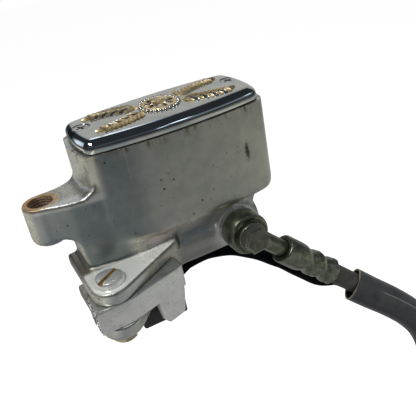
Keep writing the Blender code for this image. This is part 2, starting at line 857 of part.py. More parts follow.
def port_protector():
    # A bent spring plate that stands on its two feet over the fluid ports.
    left, right = supply_port_x - 6 * mm, return_port_x + 6 * mm
    low, thick, rise = reservoir_floor + thin_gap, 0.6 * mm, 1.6 * mm
    outline = [
        (left - 4 * mm, low), (left, low), (left + 2 * mm, low + rise), (right - 2 * mm, low + rise),
        (right, low), (right + 4 * mm, low), (right + 4 * mm, low + thick), (right + thick * 0.4, low + thick),
        (right - 2 * mm, low + rise + thick), (left + 2 * mm, low + rise + thick),
        (left - thick * 0.4, low + thick), (left - 4 * mm, low + thick),
    ]
    return prism("port_protector", outline, "Y", bore_y - 5 * mm, bore_y + 5 * mm)


def sight_glass_seal():
    back = sight_face - sight_recess_depth + thin_gap
    return turned("sight_glass_seal", [
        (mm, sight_hole_radius + 0.4 * mm), (mm, sight_recess_radius - gap), (0, sight_recess_radius - gap),
        (0, sight_hole_radius + 0.4 * mm),
    ], at_depth(sight, back), rearward, closed=True)


def sight_glass():
    base = sight_face - sight_recess_depth - 1.2 * mm
    seat = 1.2 * mm + thin_gap + mm + thin_gap
    return turned("sight_glass", [
        (seat + 1.2 * mm, 0), (seat + 1.2 * mm, 6.2 * mm), (seat + 0.6 * mm, sight_recess_radius - gap),
        (seat, sight_recess_radius - gap), (seat, sight_hole_radius - gap), (0, sight_hole_radius - gap), (0, 0),
    ], at_depth(sight, base), rearward)


finish(cover(), chrome)
finish(badge(), gold)
for side, place in zip(("left", "right"), screw_places):
    finish(cover_screw("cover_screw_" + side, place), steel)
finish(diaphragm(), black_rubber)
finish(diaphragm_plate(), white_plastic)
finish(port_protector(), spring_steel)
finish(sight_glass_seal(), black_rubber)
finish(sight_glass(), clear_plastic)


# Piston train

bore_axis = Vector((0, bore_y, 0))


def along_bore(x):
    return bore_axis + Vector((x, 0, 0))


def turned_along_bore(name, steps, segments=16, closed=False):
    # Steps are (x, radius), from the inboard end down the outer side.
    start = min(x for x, radius in steps)
    return turned(name, [(x - start, radius) for x, radius in steps], along_bore(start), inboard, segments, closed)


piston_left = finger_face + gap
piston_stop = bore_start + 2 * thin_gap
secondary_groove = (bore_start + 3.5 * mm, bore_start + 7.0 * mm)
groove_radius = 4.1 * mm
spigot_radius = 3.6 * mm
spigot_end = piston_right + 5.5 * mm
primary_cup_start = piston_right + gap
primary_cup_end = primary_cup_start + 3.5 * mm
return_spring_start = primary_cup_end + gap
return_spring_end = bore_end - gap


def piston():
    nose = [(piston_left + piston_nose_radius * (1 - math.cos(math.radians(angle))),
             piston_nose_radius * math.sin(math.radians(angle))) for angle in range(90, -1, -18)]
    return turned_along_bore("piston", [
        (spigot_end, 0), (spigot_end, spigot_radius - 0.6 * mm), (spigot_end - 0.6 * mm, spigot_radius),
        (piston_right, spigot_radius), (piston_right, piston_land_radius),
        (piston_right - 2.5 * mm, piston_land_radius), (piston_right - 3.5 * mm, groove_radius),
        (secondary_groove[1] + 2.5 * mm, groove_radius), (secondary_groove[1] + 1.5 * mm, piston_land_radius),
        (secondary_groove[1], piston_land_radius), (secondary_groove[1], groove_radius),
        (secondary_groove[0], groove_radius), (secondary_groove[0], piston_land_radius),
        (piston_stop, piston_land_radius), (piston_stop, piston_nose_radius),
    ] + nose)


def seal_cup(name, start, end, inner):
    lip = 1.2 * mm
    return turned_along_bore(name, [
        (end, cup_radius - lip * 0.6), (end, cup_radius), (start + lip, cup_radius - 0.15 * mm),
        (start, cup_radius - 0.5 * mm), (start, inner), (end - 0.6 * mm, inner), (end - lip, inner + 0.8 * mm),
    ], closed=True)


def spring():
    # Its end coils lie flat against the cup and the end of the bore.
    per_turn = 9
    length = return_spring_end - return_spring_start - spring_wire
    points = []
    for step in range(spring_turns * per_turn + 1):
        turn = step / per_turn
        share = min(max((turn - 0.8) / (spring_turns - 1.6), 0), 1)
        angle = 2 * math.pi * turn
        creep = spring_wire * 1.05 * (min(turn, 0.8) + max(turn - spring_turns + 0.8, 0))
        x = return_spring_start + spring_wire / 2 + creep + (length - 1.68 * spring_wire) * share
        points.append((x, bore_y + spring_radius * math.cos(angle), spring_radius * math.sin(angle)))
    return tube("return_spring", points, spring_wire / 2, 1)


washer_right = bore_start - thin_gap
washer_left = clip_groove_start + clip_groove_width + 0.1 * mm


def piston_washer():
    inner = piston_nose_radius + 0.4 * mm
    outer = mouth_radius - gap
    return turned_along_bore("piston_washer", [
        (washer_right, inner), (washer_right, outer), (washer_left, outer), (washer_left, inner),
    ], closed=True)


def snap_ring():
    # An internal circlip, open at the bottom between its two ears.
    outer = clip_groove_radius - gap
    inner = 6.6 * mm
    opening = 24
    ring = arc((bore_y, 0), outer, -90 + opening, 270 - opening, 24)
    inside = arc((bore_y, 0), inner, 270 - opening - 16, -90 + opening + 16, 20)
    ear = 1.6 * mm
    left_ear = [(bore_y - ear * 1.6, -inner + ear * 0.2)]
    right_ear = [(bore_y + ear * 1.6, -inner + ear * 0.2)]
    outline = ring + left_ear + inside + right_ear
    start = clip_groove_start + 0.15 * mm
    return prism("snap_ring", outline, "X", start, start + clip_groove_width - gap)


def dust_boot():
    # Its rim sits in the mouth of the bore and one fold leads to the lip round the piston's nose.
    seat = clip_groove_start - gap
    lip = piston_nose_radius + gap
    wall = 0.9 * mm
    outer = mouth_radius - gap
    return turned_along_bore("dust_boot", [
        (seat, outer - 1.6 * mm), (seat, outer), (seat - 3 * mm, outer), (seat - 4 * mm, outer - 2.4 * mm),
        (seat - 6.5 * mm, outer - 1.9 * mm), (seat - 8.5 * mm, outer - 2.6 * mm), (boot_end + 2 * mm, lip + 1.1 * mm),
        (boot_end, lip + 1.1 * mm), (boot_end, lip), (boot_end + 2.4 * mm, lip),
        (seat - 8.2 * mm, outer - 2.6 * mm - wall), (seat - 6.5 * mm, outer - 1.9 * mm - wall),
        (seat - 4.2 * mm, outer - 2.4 * mm - wall), (seat - 2 * mm, outer - 1.6 * mm),
    ], closed=True)


def slide_empty(name, place):
    empty = bpy.data.objects.new(name, None)
    empty.location = place
    empty.empty_display_size = 5 * mm
    parts.objects.link(empty)
    bpy.context.view_layer.update()
    return empty


def carried_by(empty, *pieces):
    for piece in pieces:
        piece.parent = empty
        piece.matrix_parent_inverse = empty.matrix_world.inverted()


piston_axis = slide_empty("piston_axis", along_bore(piston_left))
carried_by(
    piston_axis,
    finish(piston(), steel),
    finish(seal_cup("primary_cup", primary_cup_start, primary_cup_end, spigot_radius + thin_gap), black_rubber),
    finish(seal_cup("secondary_cup", secondary_groove[0] + thin_gap, secondary_groove[1] - thin_gap,
                    groove_radius + thin_gap), black_rubber),
)
finish(spring(), spring_steel)
finish(piston_washer(), steel)
finish(snap_ring(), spring_steel)
finish(dust_boot(), black_rubber)


# Brake lever, of which only the stub is left, and its pivot

def lever_stub():
    hub = (pivot_x, pivot_y)
    front = pivot_y - lever_hub_radius - 0.2 * mm
    right = switch_right + 0.6 * mm
    arm_front = pivot_y + 0.6 * mm
    broken = finger_left - 4.5 * mm
    outline = rounded([
        (broken, front - 0.6 * mm, 0), (hub[0] + 3.8 * mm, front, 7 * mm), (right, arm_front, 2 * mm),
        (right, arm_front + 9 * mm, 2 * mm), (hub[0] + 9.5 * mm, pivot_y + 8 * mm, 4 * mm),
        (finger_face, pivot_y + 12 * mm, 4 * mm), (finger_face, finger_tip, 2 * mm),
        (finger_left, finger_tip, 2 * mm), (finger_left, pivot_y + 8.5 * mm, 3 * mm),
        (broken + 0.3 * mm, pivot_y + 4.6 * mm, 0), (broken - 0.5 * mm, pivot_y + 1.5 * mm, 0),
        (broken + 0.4 * mm, pivot_y - 1.5 * mm, 0), (broken - 0.4 * mm, pivot_y - 5 * mm, 0),
    ])
    arm = prism("brake_lever_stub", outline, "Z", lever_bottom, lever_top, 0.8 * mm)
    leg_left = plunger_x - 5 * mm
    leg_right = plunger_x + 5 * mm
    leg = prism("leg", rounded([
        (leg_left, lever_bottom + 2 * mm, 0), (leg_left + 1.2 * mm, leg_foot, 2.5 * mm),
        (leg_right - 1.6 * mm, leg_foot, 2.5 * mm), (right - 1.2 * mm, lever_bottom + 2 * mm, 0),
    ]), "Y", leg_back - 4.7 * mm, leg_back, 0.6 * mm)
    hole = cylinder("pivot_hole", at_height(pivot, lever_bottom - mm), up, pivot_shoulder_radius + thin_gap,
                    lever_top - lever_bottom + 2 * mm)
    return cut(unite(arm, leg), hole)


def pivot_bolt():
    # Slotted head, a shoulder that the lever turns on, and an M6 thread in the lower ear.
    shoulder_end = slot_bottom + gap
    thread_end = lower_ear_bottom - gap - nut_height - mm
    head_base = upper_ear_top + thin_gap
    top = head_base + pivot_head_height
    head = pivot_head_radius
    bolt = turned("pivot_bolt", [
        (top, 0), (top, head - 0.8 * mm), (top - 0.3 * mm, head - 0.3 * mm), (top - 0.9 * mm, head),
        (head_base, head), (head_base, pivot_shoulder_radius), (shoulder_end, pivot_shoulder_radius),
        (shoulder_end, m6_radius), (thread_end + 0.6 * mm, m6_radius), (thread_end, m6_radius - 0.6 * mm),
        (thread_end, 0),
    ], at_height(pivot, 0), up, 24)
    slot = box("slot", (-head - mm, -0.8 * mm, top - 1.5 * mm), (head + mm, 0.8 * mm, top + mm))
    slot.rotation_euler.z = math.radians(34)
    slot.location = at_height(pivot, 0)
    return cut(bolt, bake(slot))


def hexagon(centre, flat, turn=0):
    return arc(centre, flat / 2 / math.cos(math.radians(30)), turn, turn + 360, 6)[:-1]


def pivot_nut():
    top = lower_ear_bottom - gap
    blank = prism("pivot_nut", hexagon((pivot_x, pivot_y), nut_flat, 12), "Z", top - nut_height, top)
    chamfer = turned("chamfer", [
        (nut_height, 0), (nut_height, nut_flat * 0.6), (mm, nut_flat * 0.6), (0, nut_flat / 2), (0, 0),
    ], at_height(pivot, top - nut_height), up)
    return cut(overlap(blank, chamfer), cylinder("thread", at_height(pivot, top + mm), down, m6_hole_radius, 10 * mm))


lever_pivot = slide_empty("lever_pivot_axis", pivot)
carried_by(lever_pivot, finish(lever_stub(), lever_aluminium))
finish(pivot_bolt(), chrome)
finish(pivot_nut(), zinc)


# Brake light switch

switch_top = lower_ear_bottom - gap
gland_radius = 3.2 * mm
lead_start = Vector((switch_right + 2.3 * mm, -26 * mm, -19.2 * mm))


def brake_light_switch():
    case = box("brake_light_switch", (switch_left, switch_front, switch_bottom),
               (switch_right, switch_rear, switch_top), 1.2 * mm)
    snout = cylinder("snout", (plunger_x, switch_front + 2 * mm, plunger_z), forward, plunger_radius + 1.3 * mm,
                     2.6 * mm, 24)
    gland = cylinder("gland", lead_start - inboard * 4 * mm, inboard, gland_radius, 4 * mm - gap, 20)
    case = unite(case, snout, gland)
    return cut(
        case,
        cylinder("plunger_hole", (plunger_x, switch_front - 4 * mm, plunger_z), rearward, plunger_radius + thin_gap,
                 12.5 * mm, 20),
        cylinder("screw_hole", (switch_screw_x, switch_screw_y, switch_bottom - mm), up, m4_hole_radius, 20 * mm, 20),
    )


def switch_plunger():
    tip = switch_front - plunger_reach
    length = 7.5 * mm
    return turned("switch_plunger", [
        (length, 0), (length, plunger_radius - 0.8 * mm), (length - 0.5 * mm, plunger_radius),
        (0, plunger_radius), (0, 0),
    ], (plunger_x, tip + length, plunger_z), forward, 20)


def switch_screw():
    head_height, head_radius = 2.4 * mm, 3.5 * mm
    length = lower_ear_bottom + 5 * mm - switch_bottom + gap
    base = switch_bottom - gap - head_height
    screw = turned("switch_screw", [
        (head_height + length, 0), (head_height + length, m4_radius - 0.4 * mm),
        (head_height + length - 0.4 * mm, m4_radius), (head_height, m4_radius), (head_height, head_radius),
        (0.8 * mm, head_radius), (0, head_radius - mm), (0, 0),
    ], (switch_screw_x, switch_screw_y, base), up, 20)
    low, x, y = base - mm, switch_screw_x, switch_screw_y
    return cut(
        screw,
        box("recess", (x - 2 * mm, y - 0.5 * mm, low), (x + 2 * mm, y + 0.5 * mm, base + 1.4 * mm)),
        box("recess", (x - 0.5 * mm, y - 2 * mm, low), (x + 0.5 * mm, y + 2 * mm, base + 1.4 * mm)),
    )


plunger_axis = slide_empty("plunger_axis", (plunger_x, switch_front - plunger_reach, plunger_z))
finish(brake_light_switch(), black_plastic)
carried_by(plunger_axis, finish(switch_plunger(), white_plastic))
finish(switch_screw(), zinc)


# Banjo joint, hose ends and clamp

def crush_washer(name, front):
    return turned(name, [
        (crush_washer_width, banjo_hole_radius), (crush_washer_width, crush_washer_radius),
        (0, crush_washer_radius), (0, banjo_hole_radius),
    ], at_depth(banjo_centre, front + crush_washer_width), forward, closed=True)


def banjo_eye(name, centre, axis, along):
    # A ring with its oil groove, and the neck that leads the fluid to the hose.
    half = banjo_eye_width / 2
    eye = turned(name, [
        (half, banjo_hole_radius), (half, banjo_eye_radius - 0.6 * mm), (half - 0.6 * mm, banjo_eye_radius),
        (0.6 * mm - half, banjo_eye_radius), (-half, banjo_eye_radius - 0.6 * mm), (-half, banjo_hole_radius),
        (-2 * mm, banjo_hole_radius), (-1.6 * mm, banjo_hole_radius + 1.2 * mm),
        (1.6 * mm, banjo_hole_radius + 1.2 * mm), (2 * mm, banjo_hole_radius),
    ], centre, axis, closed=True)
    neck = turned("neck", [
        (neck_length, 0), (neck_length, neck_radius - 0.6 * mm), (neck_length - 0.6 * mm, neck_radius),
        (banjo_eye_radius + mm, neck_radius), (banjo_eye_radius - 1.5 * mm, neck_radius + 0.5 * mm),
        (banjo_eye_radius - 2.5 * mm, neck_radius + 0.4 * mm), (banjo_eye_radius - 2.5 * mm, 0),
    ], centre, along, 24)
    return unite(eye, neck)


def ferrule(name, start, along):
    # A pressed sleeve, smooth at the neck and then crimped three times on to the hose.
    body_length = 16 * mm
    crimps = 3
    pitch = (ferrule_length - body_length - 3 * mm) / crimps
    socket = neck_length - ferrule_start + gap
    outer = [(body_length, ferrule_radius), (0.8 * mm, ferrule_radius), (0, ferrule_radius - 0.8 * mm)]
    ridges = []
    for index in range(crimps):
        low = body_length + index * pitch
        ridges = [(low + pitch, ferrule_radius - 0.2 * mm), (low + pitch * 0.75, ferrule_waist),
                  (low + pitch * 0.4, ferrule_waist)] + ridges
    profile = [
        (ferrule_length, 0), (ferrule_length, ferrule_radius - 0.8 * mm),
        (ferrule_length - 0.6 * mm, ferrule_radius + 0.2 * mm),
    ] + ridges + outer + [(0, neck_radius + gap), (socket, neck_radius + gap), (socket, 0)]
    return turned(name, profile, start, along, 18)


def banjo_bolt():
    head_base = washer_outer_front - thin_gap
    shank = banjo_face + 5 * mm - head_base
    head = prism("banjo_bolt", hexagon((banjo_x, banjo_z), banjo_hex_flat, 12), "Y", head_base - banjo_hex_height,
                 head_base)
    chamfer = turned("chamfer", [
        (banjo_hex_height, 0), (banjo_hex_height, banjo_hex_flat / 2),
        (banjo_hex_height - mm, banjo_hex_flat * 0.6), (0, banjo_hex_flat * 0.6), (0, 0),
    ], at_depth(banjo_centre, head_base), forward)
    stem = turned("stem", [
        (mm, 0), (mm, banjo_shank_radius), (0.8 * mm - shank, banjo_shank_radius),
        (-shank, banjo_shank_radius - 0.8 * mm), (-shank, 0),
    ], at_depth(banjo_centre, head_base), forward)
    drilling = cylinder("drilling", at_depth(banjo_centre, head_base + shank + mm), forward, 1.8 * mm, 15 * mm, 16)
    return cut(unite(overlap(head, chamfer), stem), drilling)


washer_inner_front = banjo_face - thin_gap - crush_washer_width
eye_rear = washer_inner_front - thin_gap
eye_centre = at_depth(banjo_centre, eye_rear - banjo_eye_width / 2)
washer_outer_front = eye_rear - banjo_eye_width - thin_gap - crush_washer_width
hose_direction = Vector((math.cos(hose_drop), 0, -math.sin(hose_drop)))
ferrule_place = eye_centre + hose_direction * ferrule_start
hose_place = ferrule_place + hose_direction * (ferrule_length + gap)

finish(crush_washer("crush_washer_inner", washer_inner_front), copper)
finish(crush_washer("crush_washer_outer", washer_outer_front), copper)
finish(banjo_eye("banjo_fitting", eye_centre, rearward, hose_direction), anodised)
finish(banjo_bolt(), anodised)
finish(ferrule("crimp_ferrule", ferrule_place, hose_direction), anodised)


def clamp_cap():
    rear = gap + clamp_cap_depth
    outline = rounded([
        (gap, -clamp_half_height, 0), (clamp_ear_depth, -clamp_half_height, 1.5 * mm),
        (clamp_ear_depth, -clamp_bolt_height + 2.5 * mm, 2 * mm), (rear, -clamp_half_height / 2, 9 * mm),
        (rear, clamp_half_height / 2, 9 * mm), (clamp_ear_depth, clamp_bolt_height - 2.5 * mm, 2 * mm),
        (clamp_ear_depth, clamp_half_height, 1.5 * mm), (gap, clamp_half_height, 0),
    ])
    cap = prism("clamp_cap", outline, "X", -clamp_half_width, clamp_half_width)
    heads = []
    holes = []
    for side in (-1, 1):
        place = Vector((0, clamp_ear_depth - clamp_spot_face, side * clamp_bolt_height))
        heads.append(cylinder("head_seat", place, rearward, cap_head_radius + 0.6 * mm, 2 * clamp_cap_depth, 24))
        holes.append(cylinder("bolt_hole", place + rearward * mm, forward, m6_hole_radius, 2 * clamp_ear_depth, 24))
    seat = cylinder("seat", (-2 * clamp_half_width, 0, 0), inboard, saddle_radius, 4 * clamp_half_width, 32)
    return cut(cap, seat, *heads, *holes)


def clamp_bolt(name, side):
    # A socket head cap screw through the cap into the body.
    base = clamp_ear_depth - clamp_spot_face + thin_gap
    length = base - clamp_body_front - 3 * mm
    bolt = turned(name, [
        (cap_head_height, 0), (cap_head_height, cap_head_radius - 0.5 * mm),
        (cap_head_height - 0.5 * mm, cap_head_radius), (0, cap_head_radius), (0, m6_radius),
        (0.6 * mm - length, m6_radius), (-length, m6_radius - 0.6 * mm), (-length, 0),
    ], (0, base, side * clamp_bolt_height), rearward)
    socket = prism("socket", hexagon((0, side * clamp_bolt_height), 5 * mm), "Y", base + 2.5 * mm,
                   base + cap_head_height + mm)
    return cut(bolt, socket)


finish(clamp_cap(), cast_aluminium)
finish(clamp_bolt("clamp_bolt_upper", 1), steel)
finish(clamp_bolt("clamp_bolt_lower", -1), steel)


# Brake hose, wound up in a coil, with its sleeve and far fitting

hose_width = 2 * hose_radius
coil_stop = math.sqrt((coil_radius + hose_radius) ** 2 - (coil_radius - hose_radius) ** 2) + gap
coil_side = coil_x + coil_radius
hose_y = eye_centre.y
tail_y = hose_y - coil_turns * hose_width
sleeve_start = eye_centre + hose_direction * 80 * mm
hose_places = [
    sleeve_start,
    (109 * mm, hose_y, -71.8 * mm),
    (127 * mm, hose_y, -89.5 * mm),
    (143 * mm, hose_y, -110 * mm),
    (152.7 * mm, hose_y, -134 * mm),
    (coil_side, hose_y, -162 * mm),
    (coil_side, hose_y, coil_z + coil_stop),
]
hose_points = [hose_place] + smooth_route(hose_places, 2 * hose_width)
sleeve_points = 7


def drawn_aside(points, drop, back):
    # The same route shifted to its underside and to the rear.
    moved = []
    for index, point in enumerate(points):
        before = points[max(index - 1, 0)]
        after = points[min(index + 1, len(points) - 1)]
        tangent = (after - before).normalized()
        upper_side = tangent.cross(rearward)
        moved.append(point - upper_side * drop + rearward * back)
    return moved


# The hose lies against the sleeve's upper front, and the lead against its lower rear.
sleeve_sides = 12
sleeve_room = (sleeve_radius - sleeve_wall) * math.cos(math.pi / sleeve_sides)
sleeve_shift = sleeve_room - hose_radius - gap
sleeve_drop = 1.3 * mm
sleeve_back = math.sqrt(sleeve_shift ** 2 - sleeve_drop ** 2)
lead_share = 1 + (sleeve_room - lead_radius - thin_gap) / sleeve_shift


def hose_sleeve():
    route = drawn_aside(hose_points[1:1 + sleeve_points], sleeve_drop, sleeve_back)
    skin = bake(tube("hose_sleeve", route, sleeve_radius, 4, caps=False))
    shell = skin.modifiers.new("wall", "SOLIDIFY")
    shell.thickness = sleeve_wall
    shell.offset = -1
    return bake(skin)


def hose_coil():
    inner, outer = coil_radius - hose_radius, coil_radius + hose_radius
    roll = 2.5 * mm
    low = hose_radius - tail_y
    high = -hose_y - hose_radius
    return turned("hose_coil", [
        (low, outer - roll), (low - roll, outer), (high + roll, outer), (high, outer - roll),
        (high, inner + roll), (high + roll, inner), (low - roll, inner), (low, inner + roll),
    ], (coil_x, 0, coil_z), forward, 32, closed=True)


tail_length = 12 * mm
tail_start = Vector((coil_side, tail_y, coil_z - coil_stop))
tail_end = tail_start + down * tail_length
far_ferrule_place = tail_end + down * (gap + ferrule_length)
far_eye_centre = far_ferrule_place + down * ferrule_start


def coil_tie():
    # A narrow band round both turns at the top of the coil.
    thick, wide = 1.2 * mm, 5 * mm
    near, far = tail_y - hose_radius - thin_gap, hose_y + hose_radius + thin_gap
    low, high = coil_z + coil_radius - hose_radius - gap, coil_z + coil_radius + hose_radius + gap
    left, right = coil_x - wide / 2, coil_x + wide / 2
    sag = 0.4 * mm
    band = box("coil_tie", (left, near - thick, low - thick - sag), (right, far + thick, high + thick), mm)
    return cut(band, box("inside", (left - mm, near, low - sag), (right + mm, far, high)))


finish(tube("brake_hose", hose_points, hose_radius, 4), black_rubber)
finish(hose_coil(), black_rubber)
finish(tube("hose_tail", [tail_start, tail_end], hose_radius, 4), black_rubber)
finish(ferrule("far_ferrule", far_ferrule_place, up), anodised)
finish(banjo_eye("far_banjo_fitting", far_eye_centre, rearward, up), anodised)
finish(coil_tie(), black_plastic)


# Switch lead, which joins the hose in the sleeve and ends in a connector

lead_inside = drawn_aside(hose_points[1:1 + sleeve_points], sleeve_drop * lead_share, sleeve_back * lead_share)
lead_out = [lead_start] + smooth_route([
    lead_start + inboard * 3 * mm,
    (11 * mm, -24 * mm, -15.8 * mm),
    (24 * mm, -24 * mm, -15.6 * mm),
    (37 * mm, -25.5 * mm, -19.5 * mm),
    (48 * mm, -30.5 * mm, -25 * mm),
    (63 * mm, -34 * mm, -38 * mm),
    (74 * mm, -37 * mm, -48.5 * mm),
    lead_inside[0],
], 6 * lead_radius)
lead_hanging = smooth_route([
    lead_inside[-1],
    lead_inside[-1] + Vector((4 * mm, 4 * mm, -12 * mm)),
    lead_inside[-1] + Vector((12 * mm, 3 * mm, -24 * mm)),
    lead_inside[-1] + Vector((17 * mm, 0, -38 * mm)),
    lead_inside[-1] + Vector((18 * mm, -mm, -56 * mm)),
], 6 * lead_radius)
lead_end = lead_hanging[-1] + down * 2 * lead_radius
lead_points = lead_out[:-1] + lead_inside + lead_hanging[1:] + [lead_end]


def lead_connector():
    half_width, half_depth = 5 * mm, 4 * mm
    top = lead_end + down * gap
    low = Vector((top.x - half_width, top.y - half_depth, top.z - connector_length))
    high = Vector((top.x + half_width, top.y + half_depth, top.z))
    housing = box("lead_connector", low, high, mm)
    mouth = box("mouth", (low.x + 1.2 * mm, low.y + 1.2 * mm, low.z - mm),
                (high.x - 1.2 * mm, high.y - 1.2 * mm, low.z + connector_length / 2))
    return cut(housing, mouth)


finish(hose_sleeve(), black_vinyl)
finish(tube("switch_lead", lead_points, lead_radius), black_vinyl)
finish(lead_connector(), black_plastic)
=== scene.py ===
import math

import bmesh
import bpy
from mathutils import Matrix, Vector


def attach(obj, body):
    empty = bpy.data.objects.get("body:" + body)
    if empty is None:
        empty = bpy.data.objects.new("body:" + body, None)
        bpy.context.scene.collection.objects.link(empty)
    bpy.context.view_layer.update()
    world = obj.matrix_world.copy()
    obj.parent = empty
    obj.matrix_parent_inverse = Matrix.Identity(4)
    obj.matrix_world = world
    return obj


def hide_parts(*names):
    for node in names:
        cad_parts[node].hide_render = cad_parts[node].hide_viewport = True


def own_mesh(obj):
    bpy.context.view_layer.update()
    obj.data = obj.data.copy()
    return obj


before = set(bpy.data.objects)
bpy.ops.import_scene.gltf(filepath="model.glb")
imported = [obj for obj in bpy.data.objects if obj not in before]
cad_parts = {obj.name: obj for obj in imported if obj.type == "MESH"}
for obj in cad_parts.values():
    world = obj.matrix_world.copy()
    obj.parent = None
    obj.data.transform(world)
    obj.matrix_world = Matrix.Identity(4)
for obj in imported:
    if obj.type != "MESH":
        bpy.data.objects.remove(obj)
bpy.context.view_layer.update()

# Front brake master cylinder with its reservoir, lever stub, light switch, banjo fitting and hose.
# Lengths are in metres and are written in millimetres times mm. -Y is the front and +Z is up.
mm = 0.001
weldReach = 0.0005 * mm
right, up, down = Vector((1, 0, 0)), Vector((0, 0, 1)), Vector((0, 0, -1))
forward, back = Vector((0, -1, 0)), Vector((0, 1, 0))
print("frame loaded")


# Camera

view = {
    "place": (-0.0718, -0.2677, 0.1481),
    "right": (0.8766, -0.4508, -0.1685),
    "up": (0.3496, 0.3558, 0.8667),
    "back": (-0.3308, -0.8187, 0.4695),
    "lens": 52.9,
}


def setUpCamera():
    data = bpy.data.cameras.new("camera")
    data.lens = view["lens"]
    data.clip_start = 0.01
    camera = bpy.data.objects.new("camera", data)
    bpy.context.scene.collection.objects.link(camera)
    turn = Matrix((view["right"], view["up"], view["back"])).transposed()
    camera.matrix_world = Matrix.Translation(view["place"]) @ turn.to_4x4()
    bpy.context.scene.camera = camera


setUpCamera()


# Nodes for finishes

def addNode(tree, kind, inputs=None, **settings):
    node = tree.nodes.new("ShaderNode" + kind)
    for key, value in settings.items():
        setattr(node, key, value)
    for key, value in (inputs or {}).items():
        if isinstance(value, bpy.types.NodeSocket):
            tree.links.new(value, node.inputs[key])
        else:
            node.inputs[key].default_value = value
    return node


def math2(tree, operation, first, second=0.0, clamp=False):
    return addNode(tree, "Math", {0: first, 1: second}, operation=operation, use_clamp=clamp).outputs[0]


def times(tree, first, second, clamp=False):
    return math2(tree, "MULTIPLY", first, second, clamp)


def most(tree, first, second):
    return math2(tree, "MAXIMUM", first, second)


def split(tree, vector):
    node = addNode(tree, "SeparateXYZ", {0: vector})
    return node.outputs["X"], node.outputs["Y"], node.outputs["Z"]


def offFrom(tree, value, centre):
    return math2(tree, "ABSOLUTE", math2(tree, "SUBTRACT", value, centre))


def scaled(tree, value, factor, plus=0.5):
    return addNode(tree, "Math", {0: value, 1: factor, 2: plus}, operation="MULTIPLY_ADD").outputs[0]


def ramp(tree, value, low, high, start=0.0, end=1.0):
    # A value carried smoothly from low..high to start..end.
    inputs = {"Value": value, "From Min": low, "From Max": high, "To Min": start, "To Max": end}
    return addNode(tree, "MapRange", inputs, interpolation_type="SMOOTHSTEP").outputs[0]


def colourRamp(tree, value, stops):
    node = addNode(tree, "ValToRGB", {"Fac": value})
    bar = node.color_ramp
    bar.interpolation = "EASE"
    while len(bar.elements) < len(stops):
        bar.elements.new(0.5)
    for element, (place, colour) in zip(bar.elements, stops):
        element.position = place
        element.color = (*colour, 1)
    return node.outputs["Color"]


def blendColour(tree, share, first, second, mode="MIX"):
    node = addNode(tree, "Mix", data_type="RGBA", blend_type=mode)
    for socket, value in ((0, share), (6, first), (7, second)):
        if isinstance(value, bpy.types.NodeSocket):
            tree.links.new(value, node.inputs[socket])
        elif socket:
            node.inputs[socket].default_value = (*value, 1)
        else:
            node.inputs[socket].default_value = value
    return node.outputs[2]


def tinted(tree, colour, mask, share, tint):
    # The tint lies over the colour as strongly as the mask times the share.
    return blendColour(tree, times(tree, mask, share), colour, tint)


def noise(tree, place, scale, detail=3.0, stretch=(1, 1, 1), rough=0.5):
    moved = addNode(tree, "Mapping", {"Vector": place, "Scale": stretch}).outputs[0]
    inputs = {"Vector": moved, "Scale": scale, "Detail": detail, "Roughness": rough}
    return addNode(tree, "TexNoise", inputs).outputs["Fac"]


def specks(tree, place, scale, size, share, stretch=(1, 1, 1)):
    # Scattered round specks, on a share of the cells only.
    moved = addNode(tree, "Mapping", {"Vector": place, "Scale": stretch}).outputs[0]
    cells = addNode(tree, "TexVoronoi", {"Vector": moved, "Scale": scale})
    disc = ramp(tree, cells.outputs["Distance"], size, size * 0.4)
    chance = addNode(tree, "SeparateColor", {"Color": cells.outputs["Color"]}).outputs[0]
    return times(tree, disc, math2(tree, "LESS_THAN", chance, share))


def spot(tree, place, centre, reach):
    # One soft blot round a place, of the given reach along each axis.
    shift = [-c / r for c, r in zip(centre, reach)]
    near = addNode(tree, "Mapping", {"Vector": place, "Location": shift, "Scale": [1 / r for r in reach]})
    far = addNode(tree, "VectorMath", {0: near.outputs[0]}, operation="LENGTH").outputs["Value"]
    return ramp(tree, far, 1.0, 0.25)


def newFinish(name, metallic=0.0, **constants):
    # An empty finish, with its tree, shader and object coordinates.
    finish = bpy.data.materials.new(name)
    finish.use_nodes = True
    tree = finish.node_tree
    shader = tree.nodes["Principled BSDF"]
    shader.inputs["Metallic"].default_value = metallic
    for key, value in constants.items():
        shader.inputs[key.replace("_", " ")].default_value = value
    place = addNode(tree, "TexCoord")
    return finish, tree, shader, place


def bump(tree, shader, height, distance, strength):
    inputs = {"Height": height, "Distance": distance, "Strength": strength}
    tree.links.new(addNode(tree, "Bump", inputs).outputs[0], shader.inputs["Normal"])


def plug(tree, value, shader, name):
    tree.links.new(value, shader.inputs[name])


def colourSoFar(shader):
    return shader.inputs["Base Color"].links[0].from_socket


def rayKinds(tree):
    # What metal reflects, and what the camera sees straight or through glass.
    rays = addNode(tree, "LightPath").outputs
    return rays["Is Glossy Ray"], most(tree, rays["Is Camera Ray"], rays["Is Transmission Ray"])


# Light and floor

